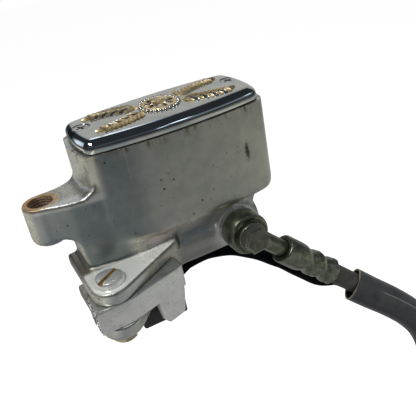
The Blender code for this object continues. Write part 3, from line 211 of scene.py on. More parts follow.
studio = {
    "floorHeight": -0.3704,
    "floorSize": 8,
    "ambient": 0.58,
    "backWall": 0.6,
    "dark": 0.05,
    "lampsSeen": (
        ((0.12, 0.60, 0.76), (0.24, 0.34, 0.16), 3.5),
        ((0.33, -0.84, 0.42), (0.10, 0.20, 0.075), 5.0),
        ((0.23, -0.90, 0.30), (0.05, 0.20, 0.06), 3.0),
        ((-0.55, -0.10, 0.82), (0.16, 0.20, 0.16), 6.0),
        ((0.74, -0.55, 0.38), (0.09, 0.12, 0.06), 3.0),
        ((-0.52, 0.80, 0.08), (0.17, 0.25, 0.34), 1.6),
    ),
    # How strongly metal sees the floor, from left to right.
    "floorSeen": (
        (0.0, (0.50, 0.49, 0.46)), (0.10, (1.50, 1.46, 1.34)), (0.24, (0.60, 0.60, 0.58)),
        (0.42, (0.34, 0.37, 0.40)), (0.60, (0.50, 0.48, 0.49)), (0.72, (0.42, 0.44, 0.44)),
        (0.92, (0.85, 0.83, 0.76)), (1.0, (0.6, 0.6, 0.57)),
    ),
}


def setUpWorld():
    # The camera sees white. Metal sees a dark studio with a pale back wall, a low haze and six lamps.
    world = bpy.data.worlds.new("studio")
    world.use_nodes = True
    bpy.context.scene.world = world
    tree = world.node_tree
    reflected, clear = rayKinds(tree)
    way = addNode(tree, "TexCoord").outputs["Generated"]
    x, y, z = split(tree, way)
    wall = times(tree, ramp(tree, x, -0.14, 0.06), ramp(tree, y, 0.1, 0.45))
    wall = times(tree, wall, ramp(tree, z, 0.74, 0.58))
    haze = times(tree, ramp(tree, offFrom(tree, z, 0.27), 0.2, 0.06), ramp(tree, y, 0.0, -0.4))
    haze = times(tree, haze, ramp(tree, x, 0.30, 0.42, 0.08, 0.34))
    seen = math2(tree, "ADD", ramp(tree, wall, 0.0, 1.0, studio["dark"], studio["backWall"]), haze)
    for centre, reach, strength in studio["lampsSeen"]:
        seen = math2(tree, "ADD", seen, times(tree, spot(tree, way, centre, reach), strength))
    cool = blendColour(tree, wall, (0.70, 0.82, 1.0), (1.0, 0.99, 0.97))
    glossy = addNode(tree, "VectorMath", {0: cool, 3: seen}, operation="SCALE").outputs[0]
    shown = blendColour(tree, reflected, (studio["ambient"],) * 3, glossy)
    shown = blendColour(tree, clear, shown, (1, 1, 1))
    tree.links.new(shown, tree.nodes["Background"].inputs["Color"])


def addLamp(name, place, size, energy, colour=(1, 1, 1)):
    data = bpy.data.lights.new(name, "AREA")
    data.shape = "DISK"
    data.size = size
    data.energy = energy
    data.color = colour
    lamp = bpy.data.objects.new(name, data)
    bpy.context.scene.collection.objects.link(lamp)
    lamp.location = place
    lamp.rotation_euler = (-Vector(place)).to_track_quat("-Z", "Y").to_euler()
    return lamp


def setUpFloor():
    bpy.ops.mesh.primitive_plane_add(size=studio["floorSize"], location=(0, 0, studio["floorHeight"]))
    floor = bpy.context.object
    floor.name = "floor"
    finish = bpy.data.materials.new("pale_floor")
    finish.use_nodes = True
    tree = finish.node_tree
    shader = tree.nodes["Principled BSDF"]
    shader.inputs["Base Color"].default_value = (0.5, 0.5, 0.49, 1)
    shader.inputs["Roughness"].default_value = 1.0
    shader.inputs["Specular IOR Level"].default_value = 0
    reflected, clear = rayKinds(tree)
    white = addNode(tree, "Emission", {"Color": (1, 1, 1, 1), "Strength": 0.72})
    place = addNode(tree, "TexCoord").outputs["Object"]
    far = addNode(tree, "VectorMath", {0: place}, operation="LENGTH").outputs["Value"]
    tone = colourRamp(tree, scaled(tree, split(tree, place)[0], 0.526), studio["floorSeen"])
    pale = addNode(tree, "Emission", {"Color": tone, "Strength": ramp(tree, far, 1.9, 1.1, 0.25, 1.0)})
    shadow = addNode(tree, "BsdfDiffuse", {"Color": (0.45, 0.45, 0.45, 1)})
    seen = addNode(tree, "AddShader", {0: white.outputs[0], 1: shadow.outputs[0]})
    first = addNode(tree, "MixShader", {0: reflected, 1: shader.outputs[0], 2: pale.outputs[0]})
    last = addNode(tree, "MixShader", {0: clear, 1: first.outputs[0], 2: seen.outputs[0]})
    tree.links.new(last.outputs[0], tree.nodes["Material Output"].inputs["Surface"])
    floor.data.materials.append(finish)


setUpWorld()
addLamp("keyLamp", (-0.45, -0.35, 0.75), 0.35, 5.0, (1.0, 0.985, 0.96))
addLamp("sideLamp", (0.6, -0.45, 0.35), 0.4, 2.2, (0.95, 0.98, 1.0)).visible_glossy = False
addLamp("rearLamp", (0.1, 0.75, 0.5), 0.4, 2.5).visible_glossy = False
setUpFloor()
bpy.context.scene.view_settings.view_transform = "Standard"
print("camera, light and floor set")


# Drawing helpers

def deselectAll():
    bpy.ops.object.select_all(action="DESELECT")


def activate(piece):
    deselectAll()
    piece.select_set(True)
    bpy.context.view_layer.objects.active = piece
    return piece


def edit(piece):
    activate(piece)
    bpy.ops.object.mode_set(mode="EDIT")
    bpy.ops.mesh.select_mode(type="VERT")
    bpy.ops.mesh.select_all(action="SELECT")


def leaveEdit():
    bpy.ops.object.mode_set(mode="OBJECT")
    return bpy.context.object


def settle(piece):
    # Place, turn and size go into the mesh.
    activate(piece)
    bpy.ops.object.transform_apply(location=True, rotation=True, scale=True)
    return piece


def faceOutward():
    bpy.ops.mesh.select_all(action="SELECT")
    bpy.ops.mesh.normals_make_consistent(inside=False)


def pick(kind, test):
    # Selects the vertices, edges or faces of the open mesh that pass the test.
    bpy.ops.mesh.select_mode(type=kind)
    bpy.ops.mesh.select_all(action="DESELECT")
    mesh = bpy.context.edit_object.data
    shape = bmesh.from_edit_mesh(mesh)
    for part in {"VERT": shape.verts, "EDGE": shape.edges, "FACE": shape.faces}[kind]:
        if test(part):
            part.select_set(True)
    shape.select_flush_mode()
    bmesh.update_edit_mesh(mesh)


def drawOutline(name, points, filled=True, closed=True):
    # A line is drawn point by point from one vertex, and the mesh stays open in edit mode.
    deselectAll()
    bpy.ops.mesh.primitive_plane_add(size=mm, location=(0, 0, 0))
    piece = bpy.context.object
    piece.name = name
    edit(piece)
    bpy.ops.mesh.merge(type="CENTER")
    points = [Vector(point) for point in points]
    bpy.ops.transform.translate(value=points[0])
    for before, here in zip(points, points[1:] + (points[:1] if closed else [])):
        bpy.ops.mesh.extrude_vertices_move(TRANSFORM_OT_translate={"value": here - before})
    bpy.ops.mesh.select_all(action="SELECT")
    bpy.ops.mesh.remove_doubles(threshold=weldReach)
    if filled:
        bpy.ops.mesh.edge_face_add()
    return piece


def setOut(outline, axis, level):
    # Outline points at a level: (x, y) on Z, (x, z) on Y and (y, z) on X.
    if axis == "Z":
        return [Vector((a, b, level)) for a, b in outline]
    if axis == "Y":
        return [Vector((a, level, b)) for a, b in outline]
    return [Vector((level, a, b)) for a, b in outline]


def plate(name, outline, axis, low, high, rim=0.0, lowRim=None, steps=3):
    # An outline extruded along an axis, with the rims of both faces rounded over.
    piece = drawOutline(name, setOut(outline, axis, low))
    index = "XYZ".index(axis)
    reach = Vector()
    reach[index] = high - low
    bpy.ops.mesh.extrude_region_move(TRANSFORM_OT_translate={"value": reach})
    faceOutward()
    for level, width in ((high, rim), (low, rim if lowRim is None else lowRim)):
        if width:
            pick("EDGE", lambda edge: all(abs(v.co[index] - level) < 0.001 * mm for v in edge.verts))
            bpy.ops.mesh.bevel(offset=width, segments=steps, profile=0.5, clamp_overlap=True)
    leaveEdit()
    return piece


def spinShape(name, profile, place, along, segments=48, closed=False):
    # A profile of (height, radius) points spun once round an axis.
    place, along = Vector(place), Vector(along).normalized()
    side = along.orthogonal().normalized()
    piece = drawOutline(name, [place + along * height + side * radius for height, radius in profile], False, closed)
    bpy.ops.mesh.select_all(action="SELECT")
    bpy.ops.mesh.spin(steps=segments, angle=math.tau, center=place, axis=along)
    bpy.ops.mesh.select_all(action="SELECT")
    bpy.ops.mesh.remove_doubles(threshold=weldReach)
    bpy.ops.mesh.normals_make_consistent(inside=False)
    leaveEdit()
    return piece


def rod(name, place, along, radius, length, segments=40, chamfer=0.0):
    profile = [(length, 0), (length, radius - chamfer), (length - chamfer, radius), (chamfer, radius),
               (0, radius - chamfer), (0, 0)]
    if not chamfer:
        profile = [(length, 0), (length, radius), (0, radius), (0, 0)]
    return spinShape(name, profile, place, along, segments)


def block(name, low, high, rim=0.0, steps=2):
    deselectAll()
    low, high = Vector(low), Vector(high)
    bpy.ops.mesh.primitive_cube_add(size=1, location=(low + high) / 2)
    piece = bpy.context.object
    piece.name = name
    piece.scale = high - low
    settle(piece)
    if rim:
        edit(piece)
        bpy.ops.mesh.bevel(offset=rim, segments=steps, profile=0.5, clamp_overlap=True)
        leaveEdit()
    return piece


def applyModifier(piece, kind, **settings):
    activate(piece)
    modifier = piece.modifiers.new(kind.lower(), kind)
    for key, value in settings.items():
        setattr(modifier, key, value)
    bpy.ops.object.modifier_apply(modifier=modifier.name)
    return piece


def combine(piece, others, operation):
    # All the others are cut from, joined to or overlapped with the piece at once.
    group = bpy.data.collections.new("tools")
    for other in others:
        group.objects.link(other)
    applyModifier(piece, "BOOLEAN", operation=operation, solver="EXACT", operand_type="COLLECTION",
                  collection=group)
    for other in others:
        bpy.data.objects.remove(other, do_unlink=True)
    bpy.data.collections.remove(group)
    return piece


def cutAway(piece, *cutters):
    return combine(piece, cutters, "DIFFERENCE")


def overlap(piece, *others):
    for other in others:
        combine(piece, [other], "INTERSECT")
    return piece


def join(name, *pieces):
    activate(pieces[0])
    for piece in pieces:
        piece.select_set(True)
    bpy.ops.object.join()
    whole = bpy.context.object
    whole.name = name
    return whole


def copyPiece(piece, name):
    activate(piece)
    bpy.ops.object.duplicate(linked=False)
    twin = bpy.context.object
    twin.name = name
    return twin


def melt(piece, grain, iterations):
    # Separate forms become one skin whose inner corners fill and outer corners soften.
    applyModifier(piece, "REMESH", mode="VOXEL", voxel_size=grain, use_smooth_shade=True)
    applyModifier(piece, "SMOOTH", factor=0.5, iterations=iterations)
    return piece


def smoothShade(piece, angle):
    activate(piece)
    bpy.ops.object.shade_smooth_by_angle(angle=math.radians(angle))
    return piece


def arc(centre, radius, start, end, steps):
    points = []
    for step in range(steps + 1):
        angle = math.radians(start + (end - start) * step / steps)
        points.append((centre[0] + radius * math.cos(angle), centre[1] + radius * math.sin(angle)))
    return points


def rounded(corners, fineness=9):
    # A closed outline whose corners are (x, y, fillet radius).
    points = []
    for index, (x, y, radius) in enumerate(corners):
        here = Vector((x, y))
        if radius == 0:
            points.append((x, y))
            continue
        before = Vector(corners[index - 1][:2]) - here
        after = Vector(corners[(index + 1) % len(corners)][:2]) - here
        half = before.angle(after) / 2
        setback = min(radius / math.tan(half), 0.49 * before.length, 0.49 * after.length)
        radius = setback * math.tan(half)
        before.normalize()
        after.normalize()
        centre = here + (before + after).normalized() * radius / math.sin(half)
        first = here + before * setback - centre
        last = here + after * setback - centre
        turn = first.angle_signed(last)
        steps = max(2, round(abs(turn) / math.radians(fineness)))
        for step in range(steps + 1):
            points.append(tuple(centre + Matrix.Rotation(-turn * step / steps, 2) @ first))
    return points


def finishPiece(piece, body, slot, finish, *nodes):
    # The piece takes its finish, rides on its body and stands for its CAD nodes.
    piece.data.materials.clear()
    piece.data.materials.append(finish)
    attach(piece, body)
    if nodes:
        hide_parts(*nodes)
    return piece


# Cast body

body = {
    "voxel": 0.7 * mm,
    "smoothing": 19,
    "decimation": 0.25,
    "reservoirCentre": (14.4 * mm, -22.15 * mm),
    "halfLength": 44 * mm,
    "halfWidth": 21.5 * mm,
    "sideBow": 4.2 * mm,
    "endBow": 1.7 * mm,
    "leftCorner": 6 * mm,
    "rightCorner": 12 * mm,
    "wall": 3.5 * mm,
    "bottom": 14 * mm,
    "belly": 10.5 * mm,
    "cavityFloor": 24 * mm,
    "rim": 58.9 * mm,
    "roll": 4.5 * mm,
    "boreY": -27 * mm,
    "barrelRadius": 11.75 * mm,
    "barrelLeft": -22 * mm,
    "barrelRight": 48 * mm,
    "pivot": (-34 * mm, -52 * mm),
    "earRadius": 9.2 * mm,
    "mirror": (-48 * mm, -25.5 * mm),
    "banjo": (34 * mm, 2 * mm),
    "sight": (36.4 * mm, 36 * mm),
    "threadPitch": 1.25 * mm,
    "seatRadius": 12.8 * mm,
    "clampBoltHeight": 18.5 * mm,
    "pivotHole": 4.2 * mm,
    "boltSlotTurn": math.radians(34),
}
bodyX, bodyY = body["reservoirCentre"]
screwPlaces = [(bodyX - 36 * mm, bodyY + 3 * mm), (bodyX + 36 * mm, bodyY + 3 * mm)]


def bowedPlan(endInset, sideInset, fineness=9):
    # The reservoir's plan, a rectangle with bowed sides, small corners outboard and large ones inboard.
    halfLength, halfWidth = body["halfLength"] - endInset, body["halfWidth"] - sideInset
    cornerX, cornerY = halfLength - body["endBow"], halfWidth - body["sideBow"]
    inset = (endInset + sideInset) / 2
    big, small = max(body["rightCorner"] - inset, mm), max(body["leftCorner"] - inset, mm)
    corners = []
    for side in (1, -1):
        corners.append((-side * cornerX, side * cornerY, small if side > 0 else big))
        for index in range(13):
            share = side * (-0.78 + 0.13 * index)
            corners.append((share * cornerX, side * (halfWidth - body["sideBow"] * share * share), 0))
        corners.append((side * cornerX, side * cornerY, big if side > 0 else small))
        for share in (0.45, 0.3, 0.15, 0, -0.15, -0.3, -0.45):
            corners.append((side * (halfLength - body["endBow"] * share * share), side * share * cornerY, 0))
    corners.reverse()
    return [(bodyX + x, bodyY + y) for x, y in rounded(corners, fineness)]


def tipPlan(lastFrontPoint):
    # The ear's round tip, from the tangent through its last front point round to the outboard edge.
    pivot, radius = Vector(body["pivot"]), body["earRadius"]
    reach = Vector(lastFrontPoint) - pivot
    tangent = math.atan2(reach.y, reach.x) + math.asin(radius / reach.length)
    return arc(pivot, radius, math.degrees(tangent) - 90, -180, 24)


def castForms():
    halfLength, halfWidth, bottom, rim = body["halfLength"], body["halfWidth"], body["bottom"], body["rim"]
    belly = bodyX + halfLength
    leftEnd = bodyX - halfLength - mm
    top = rim + body["roll"] + 2 * mm
    reservoir = overlap(
        plate("reservoir", bowedPlan(0, 0), "Z", bottom, top, body["roll"], body["roll"], 5),
        plate("reservoirSide", rounded([
            (leftEnd, bottom, 0), (belly, bottom, body["belly"]), (belly, top, 0), (leftEnd, top, 0),
        ]), "Y", bodyY - halfWidth - mm, bodyY + halfWidth + mm),
    )
    web = plate("web", [
        (-26 * mm, -2 * mm), (42 * mm, -2 * mm), (46 * mm, 9.5 * mm), (belly - body["belly"], bottom),
        (belly - 3 * mm, 24 * mm), (-26 * mm, 24 * mm),
    ], "Y", -36 * mm, -18 * mm)
    # Metal behind the ear that carries the front face down into it.
    ledge = plate("ledge", [
        (-26 * mm, -28 * mm), (-26 * mm, -39.7 * mm), (-14 * mm, -40.4 * mm), (-3 * mm, -39.4 * mm),
        (7 * mm, -36 * mm), (7 * mm, -28 * mm),
    ], "Z", 4 * mm, 17.5 * mm)
    mirrorX, mirrorY = body["mirror"]
    front = bodyY - halfWidth + body["sideBow"]
    arm = overlap(
        plate("arm", rounded([
            (mirrorX - 2 * mm, 25.5 * mm, 0), (-39.5 * mm, 25.5 * mm, 6 * mm), (-37.5 * mm, 3 * mm, 0),
            (-20 * mm, 3 * mm, 0), (8 * mm, bottom + 4 * mm, 0), (8 * mm, rim - 6 * mm, 0),
            (-14 * mm, rim - 6 * mm, 0), (-27.6 * mm, 45 * mm, 4 * mm), (-32.5 * mm, 42 * mm, 5 * mm),
            (mirrorX - 2 * mm, 42 * mm, 0),
        ]), "Y", bodyY - halfWidth, bodyY + halfWidth),
        plate("armPlan", [
            (mirrorX - 2 * mm, mirrorY - 7.6 * mm), (-38 * mm, front + 2 * mm), (-27 * mm, front), (8 * mm, front),
            (8 * mm, -12 * mm), (-29 * mm, -12 * mm), (-38 * mm, -16 * mm), (mirrorX - 2 * mm, mirrorY + 7.6 * mm),
        ], "Z", 0, rim),
    )
    mirrorBoss = spinShape("mirrorBoss", [
        (19.5 * mm, 0), (19.5 * mm, 8.1 * mm), (3 * mm, 8.1 * mm), (1.2 * mm, 7.1 * mm), (0, 4.9 * mm), (0, 0),
    ], (mirrorX, mirrorY, 23 * mm), up)
    length = body["barrelRight"] - body["barrelLeft"]
    dome = [(length - 4.5 * mm * (1 - math.sin(math.radians(angle))),
             body["barrelRadius"] - 4.5 * mm * (1 - math.cos(math.radians(angle)))) for angle in range(90, -1, -15)]
    barrel = spinShape("barrel", [(length, 0)] + dome + [(0, body["barrelRadius"]), (0, 0)],
                       (body["barrelLeft"], body["boreY"], 0), right, 64)
    banjoX, banjoZ = body["banjo"]
    banjoBoss = rod("banjoBoss", (banjoX, body["boreY"], banjoZ), forward, 10.8 * mm, 12.5 * mm)
    frontEnd = (0, bodyY - 20 * mm)
    upperEar = plate("upperEar", tipPlan(frontEnd) + [
        (-43.2 * mm, -15.5 * mm), (-22 * mm, -15.5 * mm), (0, -27 * mm), (3.4 * mm, -30 * mm),
        (3.4 * mm, -38.2 * mm), (2.2 * mm, -41 * mm), frontEnd,
    ], "Z", 2.5 * mm, 9 * mm)
    padEnd = (-15.6 * mm, -46 * mm)
    lowerEar = plate("lowerEar", tipPlan(padEnd) + [
        (-43.2 * mm, -15.5 * mm), (-22 * mm, -15.5 * mm), (-22 * mm, -18 * mm), (3 * mm, -18 * mm),
        (3 * mm, -38.2 * mm), (-13 * mm, -38.2 * mm), padEnd,
    ], "Z", -15.5 * mm, -8.9 * mm)
    clamp = block("clamp", (-14 * mm, -19 * mm, -25 * mm), (14 * mm, 0.5 * mm, 25 * mm), 1.5 * mm)
    return [reservoir, web, ledge, arm, mirrorBoss, barrel, banjoBoss, upperEar, lowerEar, clamp]


def reservoirCavity():
    # The screw posts stay standing, tied to the end walls.
    wall, floor, top = body["wall"], body["cavityFloor"], body["rim"] + mm
    cavity = plate("cavity", bowedPlan(wall, wall), "Z", floor, top, 0, 1.5 * mm)
    posts = []
    for side, (x, y) in zip((-1, 1), screwPlaces):
        wallX = bodyX + side * (body["halfLength"] - wall / 2)
        halfTurn = arc((x, y), 4 * mm, 90 if side > 0 else -90, 270 if side > 0 else 90, 20)
        posts.append(plate("post", halfTurn + [(wallX, y - side * 4 * mm), (wallX, y + side * 4 * mm)],
                           "Z", floor - mm, top + mm))
    return cutAway(cavity, *posts)


def threadProfile(radius, depth, length, pitch):
    # A ribbed bore, whose crests stand inwards from the radius.
    points = [(length + mm, 0), (length + mm, radius), (length, radius)]
    turns = int(length / pitch) - 1
    for turn in range(turns):
        height = length - 0.4 * mm - turn * pitch
        points += [(height, radius + depth), (height - pitch / 2, radius - depth * 0.2)]
    return points + [(1.5 * mm, radius - depth * 0.2), (0, 0)]


def boreCutter():
    steps = [
        (-23, 0), (-23, 8.6), (-15.9, 8.6), (-15.9, 9.3), (-14.6, 9.3), (-14.6, 8.6), (-13, 8.6), (-13, 6.35),
        (44, 6.35), (47, 0),
    ]
    return spinShape("bore", [((x + 22) * mm, radius * mm) for x, radius in reversed(steps)],
                     (-22 * mm, body["boreY"], 0), right, 56)


def machinedCutters():
    far = 70 * mm
    pivotX, pivotY = body["pivot"]
    mirrorX, mirrorY = body["mirror"]
    banjoX, banjoZ = body["banjo"]
    sightX, sightZ = body["sight"]
    boreY = body["boreY"]
    cutters = [
        block("rimPlane", (-far, -far, body["rim"]), (far, far, body["rim"] + far)),
        reservoirCavity(),
        boreCutter(),
        rod("bootRelief", (-36 * mm, boreY, 0), right, 7.4 * mm, 15 * mm),
        plate("leverSlot", rounded([
            (-far, -far, 0), (6 * mm, -far, 0), (6 * mm, -39.2 * mm, mm), (-22 * mm, -39.2 * mm, mm),
            (-22 * mm, -10 * mm, 0), (-far, -10 * mm, 0),
        ]), "Z", -9.4 * mm, 3 * mm),
        block("earRear", (-far, -16 * mm, -far), (-23 * mm, 0, 10 * mm)),
        rod("upperSpotFace", (pivotX, pivotY, 9 * mm), up, 7.2 * mm, 5 * mm, 56),
        rod("lowerSpotFace", (pivotX, pivotY, -15 * mm), down, 7.5 * mm, 5 * mm, 56),
        block("switchFace", (-25 * mm, -48 * mm, -20 * mm), (5 * mm, -20 * mm, -15 * mm)),
        rod("upperPivotHole", (pivotX, pivotY, 0), up, body["pivotHole"], 20 * mm),
        rod("lowerPivotHole", (pivotX, pivotY, 0), down, 3.3 * mm, 20 * mm),
        rod("switchScrewHole", (-6 * mm, -28 * mm, -15.5 * mm), up, 2.3 * mm, 7 * mm),
        rod("mirrorFace", (mirrorX, mirrorY, 42 * mm), up, 9.6 * mm, 6 * mm),
        spinShape("mirrorHole", threadProfile(5 * mm, 0.35 * mm, 16 * mm, body["threadPitch"]),
                  (mirrorX, mirrorY, 26 * mm), up, 64),
        spinShape("mirrorChamfer", [
            (2 * mm, 0), (2 * mm, 7.0 * mm), (0, 5.15 * mm), (-0.2 * mm, 5 * mm), (-0.2 * mm, 0),
        ], (mirrorX, mirrorY, 42 * mm - 0.25 * mm), up, 64),
        rod("banjoFace", (banjoX, -39 * mm, banjoZ), forward, 11.8 * mm, 5 * mm, 56),
        rod("banjoHole", (banjoX, -39.5 * mm, banjoZ), back, 5 * mm, 12.5 * mm),
        rod("supplyPort", (5 * mm, boreY, 0), up, 1.5 * mm, 25 * mm, 24),
        rod("returnPort", (19 * mm, boreY, 0), up, 0.6 * mm, 25 * mm, 16),
        rod("barSeat", (-far, 0, 0), right, body["seatRadius"], 2 * far, 96),
        block("clampFace", (-far, -0.2 * mm, -far), (far, far, far)),
        rod("sightRecess", (sightX, -4.1 * mm, sightZ), back, 9.5 * mm, 6 * mm, 56),
        rod("sightHole", (sightX, bodyY, sightZ), back, 6.6 * mm, 21.5 * mm),
    ]
    cutters += [rod("clampHole", (0, 0.5 * mm, side * body["clampBoltHeight"]), forward, 3.3 * mm, 17 * mm)
                for side in (-1, 1)]
    cutters += [rod("postHole", (x, y, body["rim"] + 0.5 * mm), down, 2.3 * mm, 15.5 * mm) for x, y in screwPlaces]
    return cutters


def makeBody():
    casting = melt(join("castBody", *castForms()), body["voxel"], body["smoothing"])
    applyModifier(casting, "DECIMATE", ratio=body["decimation"])
    cutAway(casting, *machinedCutters())
    edit(casting)
    bpy.ops.mesh.remove_doubles(threshold=weldReach)
    leaveEdit()
    return smoothShade(casting, 38)


# Hose and lead, whose routes lie where their solids are

hose = {
    "radius": 5.3 * mm,
    "length": 1.01,
    "sides": 48,
    "drop": [(78.79, -42.02), (91.06, -54.07), (105.55, -68.4), (120.24, -82.51), (134.01, -97.53),
             (145.38, -114.38), (152.55, -133.41), (155.58, -153.52), (156.23, -173.88),
             (156.14, -194.26), (156.0, -214.63), (156.0, -232.0)],
    "depth": -45.6 * mm,
    "coilCentre": (98 * mm, -250 * mm),
    "coilRadius": 58 * mm,
    "coilTurns": 2,
    "tailDepth": -66.8 * mm,
    "tailEnd": -297.4 * mm,
}
lead = {
    "radius": 2.3 * mm,
    "length": 0.29,
    "points": [(0.3, -26, -19.2), (3.3, -26, -19.2), (16.7, -23.78, -15.26), (30.89, -24.46, -17.28),
               (43.65, -28.57, -22.31), (54.8, -32.23, -30.57), (65.3, -34.62, -40.18), (75.74, -37.31, -49.75),
               (88.06, -38.91, -57.11), (102.57, -38.91, -71.45), (117.19, -38.91, -85.5),
               (130.66, -38.91, -100.17), (141.58, -38.91, -116.34), (148.42, -38.91, -134.48),
               (151.36, -38.91, -154.16), (156.32, -34.77, -167.86), (164.53, -36.38, -180.58),
               (168.75, -39.19, -194.91),
               (169.36, -39.91, -210.16), (169.36, -39.91, -214.76)],
    "jacketRadius": 3.4 * mm,
}
sleeve = {
    "radius": 9.1 * mm,
    "wall": 0.8 * mm,
    "points": [(90.15, -43.56, -55.0), (104.64, -43.56, -69.33), (119.31, -43.56, -83.42), (132.99, -43.56, -98.33),
               (144.22, -43.56, -114.97), (151.29, -43.56, -133.73), (154.29, -43.56, -153.71)],
    "mouth": (89.1 * mm, -51.5 * mm, -57.0 * mm),
    "mouthWay": (0.7055, -0.55, -0.4468),
    "seam": 0.42,
}


def inMetres(points):
    return [Vector(point) * mm for point in points]


def smoothRoute(points, pieces):
    # A curve through all the points, each stretch cut into pieces.
    padded = [2 * points[0] - points[1]] + points + [2 * points[-1] - points[-2]]
    route = []
    for a, b, c, d in zip(padded, padded[1:], padded[2:], padded[3:]):
        for step in range(pieces):
            t = step / pieces
            route.append(0.5 * (2 * b + (c - a) * t + (2 * a - 5 * b + 4 * c - d) * t * t
                                + (3 * b - a - 3 * c + d) * t ** 3))
    return route + [points[-1]]


def sweepTube(name, route, radiusAt, sides, capped=True):
    # Rings are carried along the route without twisting. The UV map holds the share round and the metres along.
    tangents = []
    for index in range(len(route)):
        ahead, behind = route[min(index + 1, len(route) - 1)], route[max(index - 1, 0)]
        tangents.append((ahead - behind).normalized())
    normal = back - tangents[0] * back.dot(tangents[0])
    corners, lengths, along = [], [], 0.0
    for index, (place, tangent) in enumerate(zip(route, tangents)):
        normal = (normal - tangent * normal.dot(tangent)).normalized()
        side = tangent.cross(normal)
        along += (place - route[index - 1]).length if index else 0
        lengths.append(along)
        for step in range(sides):
            turn = math.tau * step / sides
            reach = radiusAt(along, turn)
            corners.append(place + (normal * math.cos(turn) + side * math.sin(turn)) * reach)
    faces, spots = [], []
    for ring in range(len(route) - 1):
        for step in range(sides):
            after = (step + 1) % sides
            faces.append((ring * sides + step, ring * sides + after, (ring + 1) * sides + after,
                          (ring + 1) * sides + step))
            spots += [(step / sides, lengths[ring]), ((step + 1) / sides, lengths[ring]),
                      ((step + 1) / sides, lengths[ring + 1]), (step / sides, lengths[ring + 1])]
    if capped:
        last = (len(route) - 1) * sides
        faces += [tuple(range(sides))[::-1], tuple(range(last, last + sides))]
        spots += [(0, 0)] * sides + [(0, along)] * sides
    mesh = bpy.data.meshes.new(name)
    mesh.from_pydata(corners, [], faces)
    mapping = mesh.uv_layers.new(name="lengthwise")
    mapping.data.foreach_set("uv", [value for spot in spots for value in spot])
    piece = bpy.data.objects.new(name, mesh)
    bpy.context.scene.collection.objects.link(piece)
    edit(piece)
    bpy.ops.mesh.normals_make_consistent(inside=False)
    leaveEdit()
    return smoothShade(piece, 50)


def hoseRoute():
    route = smoothRoute([Vector((x, hose["depth"] / mm, z)) * mm for x, z in hose["drop"]], 4)
    centreX, centreZ = hose["coilCentre"]
    steps = 56 * hose["coilTurns"]
    for step in range(steps + 1):
        turn = math.tau * hose["coilTurns"] * step / steps
        depth = hose["depth"] + (hose["tailDepth"] - hose["depth"]) * step / steps
        route.append(Vector((centreX + hose["coilRadius"] * math.cos(turn), depth,
                             centreZ - hose["coilRadius"] * math.sin(turn))))
    start = Vector((centreX + hose["coilRadius"], hose["tailDepth"], centreZ))
    end = Vector((start.x, start.y, hose["tailEnd"]))
    return route + [start.lerp(end, share) for share in (0.25, 0.5, 0.75, 1)]


hoseLine = hoseRoute()
leadLine = smoothRoute(inMetres(lead["points"]), 5)
brakeHose = sweepTube("brakeHose", hoseLine, lambda along, turn: hose["radius"], hose["sides"])
switchLead = sweepTube("switchLead", leadLine, lambda along, turn: lead["radius"], 24)


def jacketRadius(along, turn):
    # The jacket is pinched at its ends and is not quite round.
    end = min(along, jacketLength - along) / (9 * mm)
    fill = math.sin(min(end, 1) * math.pi / 2)
    ripple = 0.12 * mm * math.sin(3 * turn + along * 190) + 0.08 * mm * math.sin(along * 420)
    return lead["radius"] + 0.15 * mm + (lead["jacketRadius"] - lead["radius"]) * fill + ripple


jacketLine = smoothRoute(inMetres(lead["points"][1:9]), 8)[4:-2]
jacketLength = sum((b - a).length for a, b in zip(jacketLine, jacketLine[1:]))
leadJacket = sweepTube("leadJacket", jacketLine, jacketRadius, 28)


def makeSleeve():
    # The mouth is cut on a slant and the tube is a little pressed out of round.
    route = smoothRoute(inMetres(sleeve["points"]), 8)
    tube = sweepTube("hoseSleeve", route, lambda along, turn: sleeve["radius"] - sleeve["wall"] / 2
                     + 0.12 * mm * math.cos(2 * turn + 0.7), 64, capped=False)
    edit(tube)
    bpy.ops.mesh.bisect(plane_co=sleeve["mouth"], plane_no=sleeve["mouthWay"], clear_inner=True)
    leaveEdit()
    applyModifier(tube, "SOLIDIFY", thickness=sleeve["wall"], offset=0)
    return smoothShade(tube, 50)


hoseSleeve = makeSleeve()
print("hose, lead and sleeve laid")


# Reservoir cover

cover = {
    "endInset": 2.0 * mm,
    "sideInset": 0.5 * mm,
    "lip": 59.55 * mm,
    "seat": 60.0 * mm,
    "top": 65.2 * mm,
    "roll": 4.0 * mm,
    "screwHead": 4.0 * mm,
}


def makeCover():
    plan = bowedPlan(cover["endInset"], cover["sideInset"], 6)
    shell = plate("reservoirCover", plan, "Z", cover["lip"], cover["top"], cover["roll"], 0.25 * mm, 9)
    pocket = bowedPlan(13 * mm, 5 * mm)
    seats = [spinShape("screwSeat", [
        (12 * mm, 0), (12 * mm, 9 * mm), (6.4 * mm, cover["screwHead"] + 1.0 * mm),
        (5.3 * mm, cover["screwHead"] + 0.3 * mm), (3.2 * mm, 2.3 * mm), (-2 * mm, 2.3 * mm), (-2 * mm, 0),
    ], (x, y, cover["seat"]), up, 48) for x, y in screwPlaces]
    return smoothShade(cutAway(
        shell,
        plate("seat", bowedPlan(2.3 * mm, 0.9 * mm), "Z", cover["lip"] - mm, cover["seat"]),
        plate("pocket", pocket, "Z", cover["seat"] - mm, cover["seat"] + 2.2 * mm),
        *seats
    ), 28)


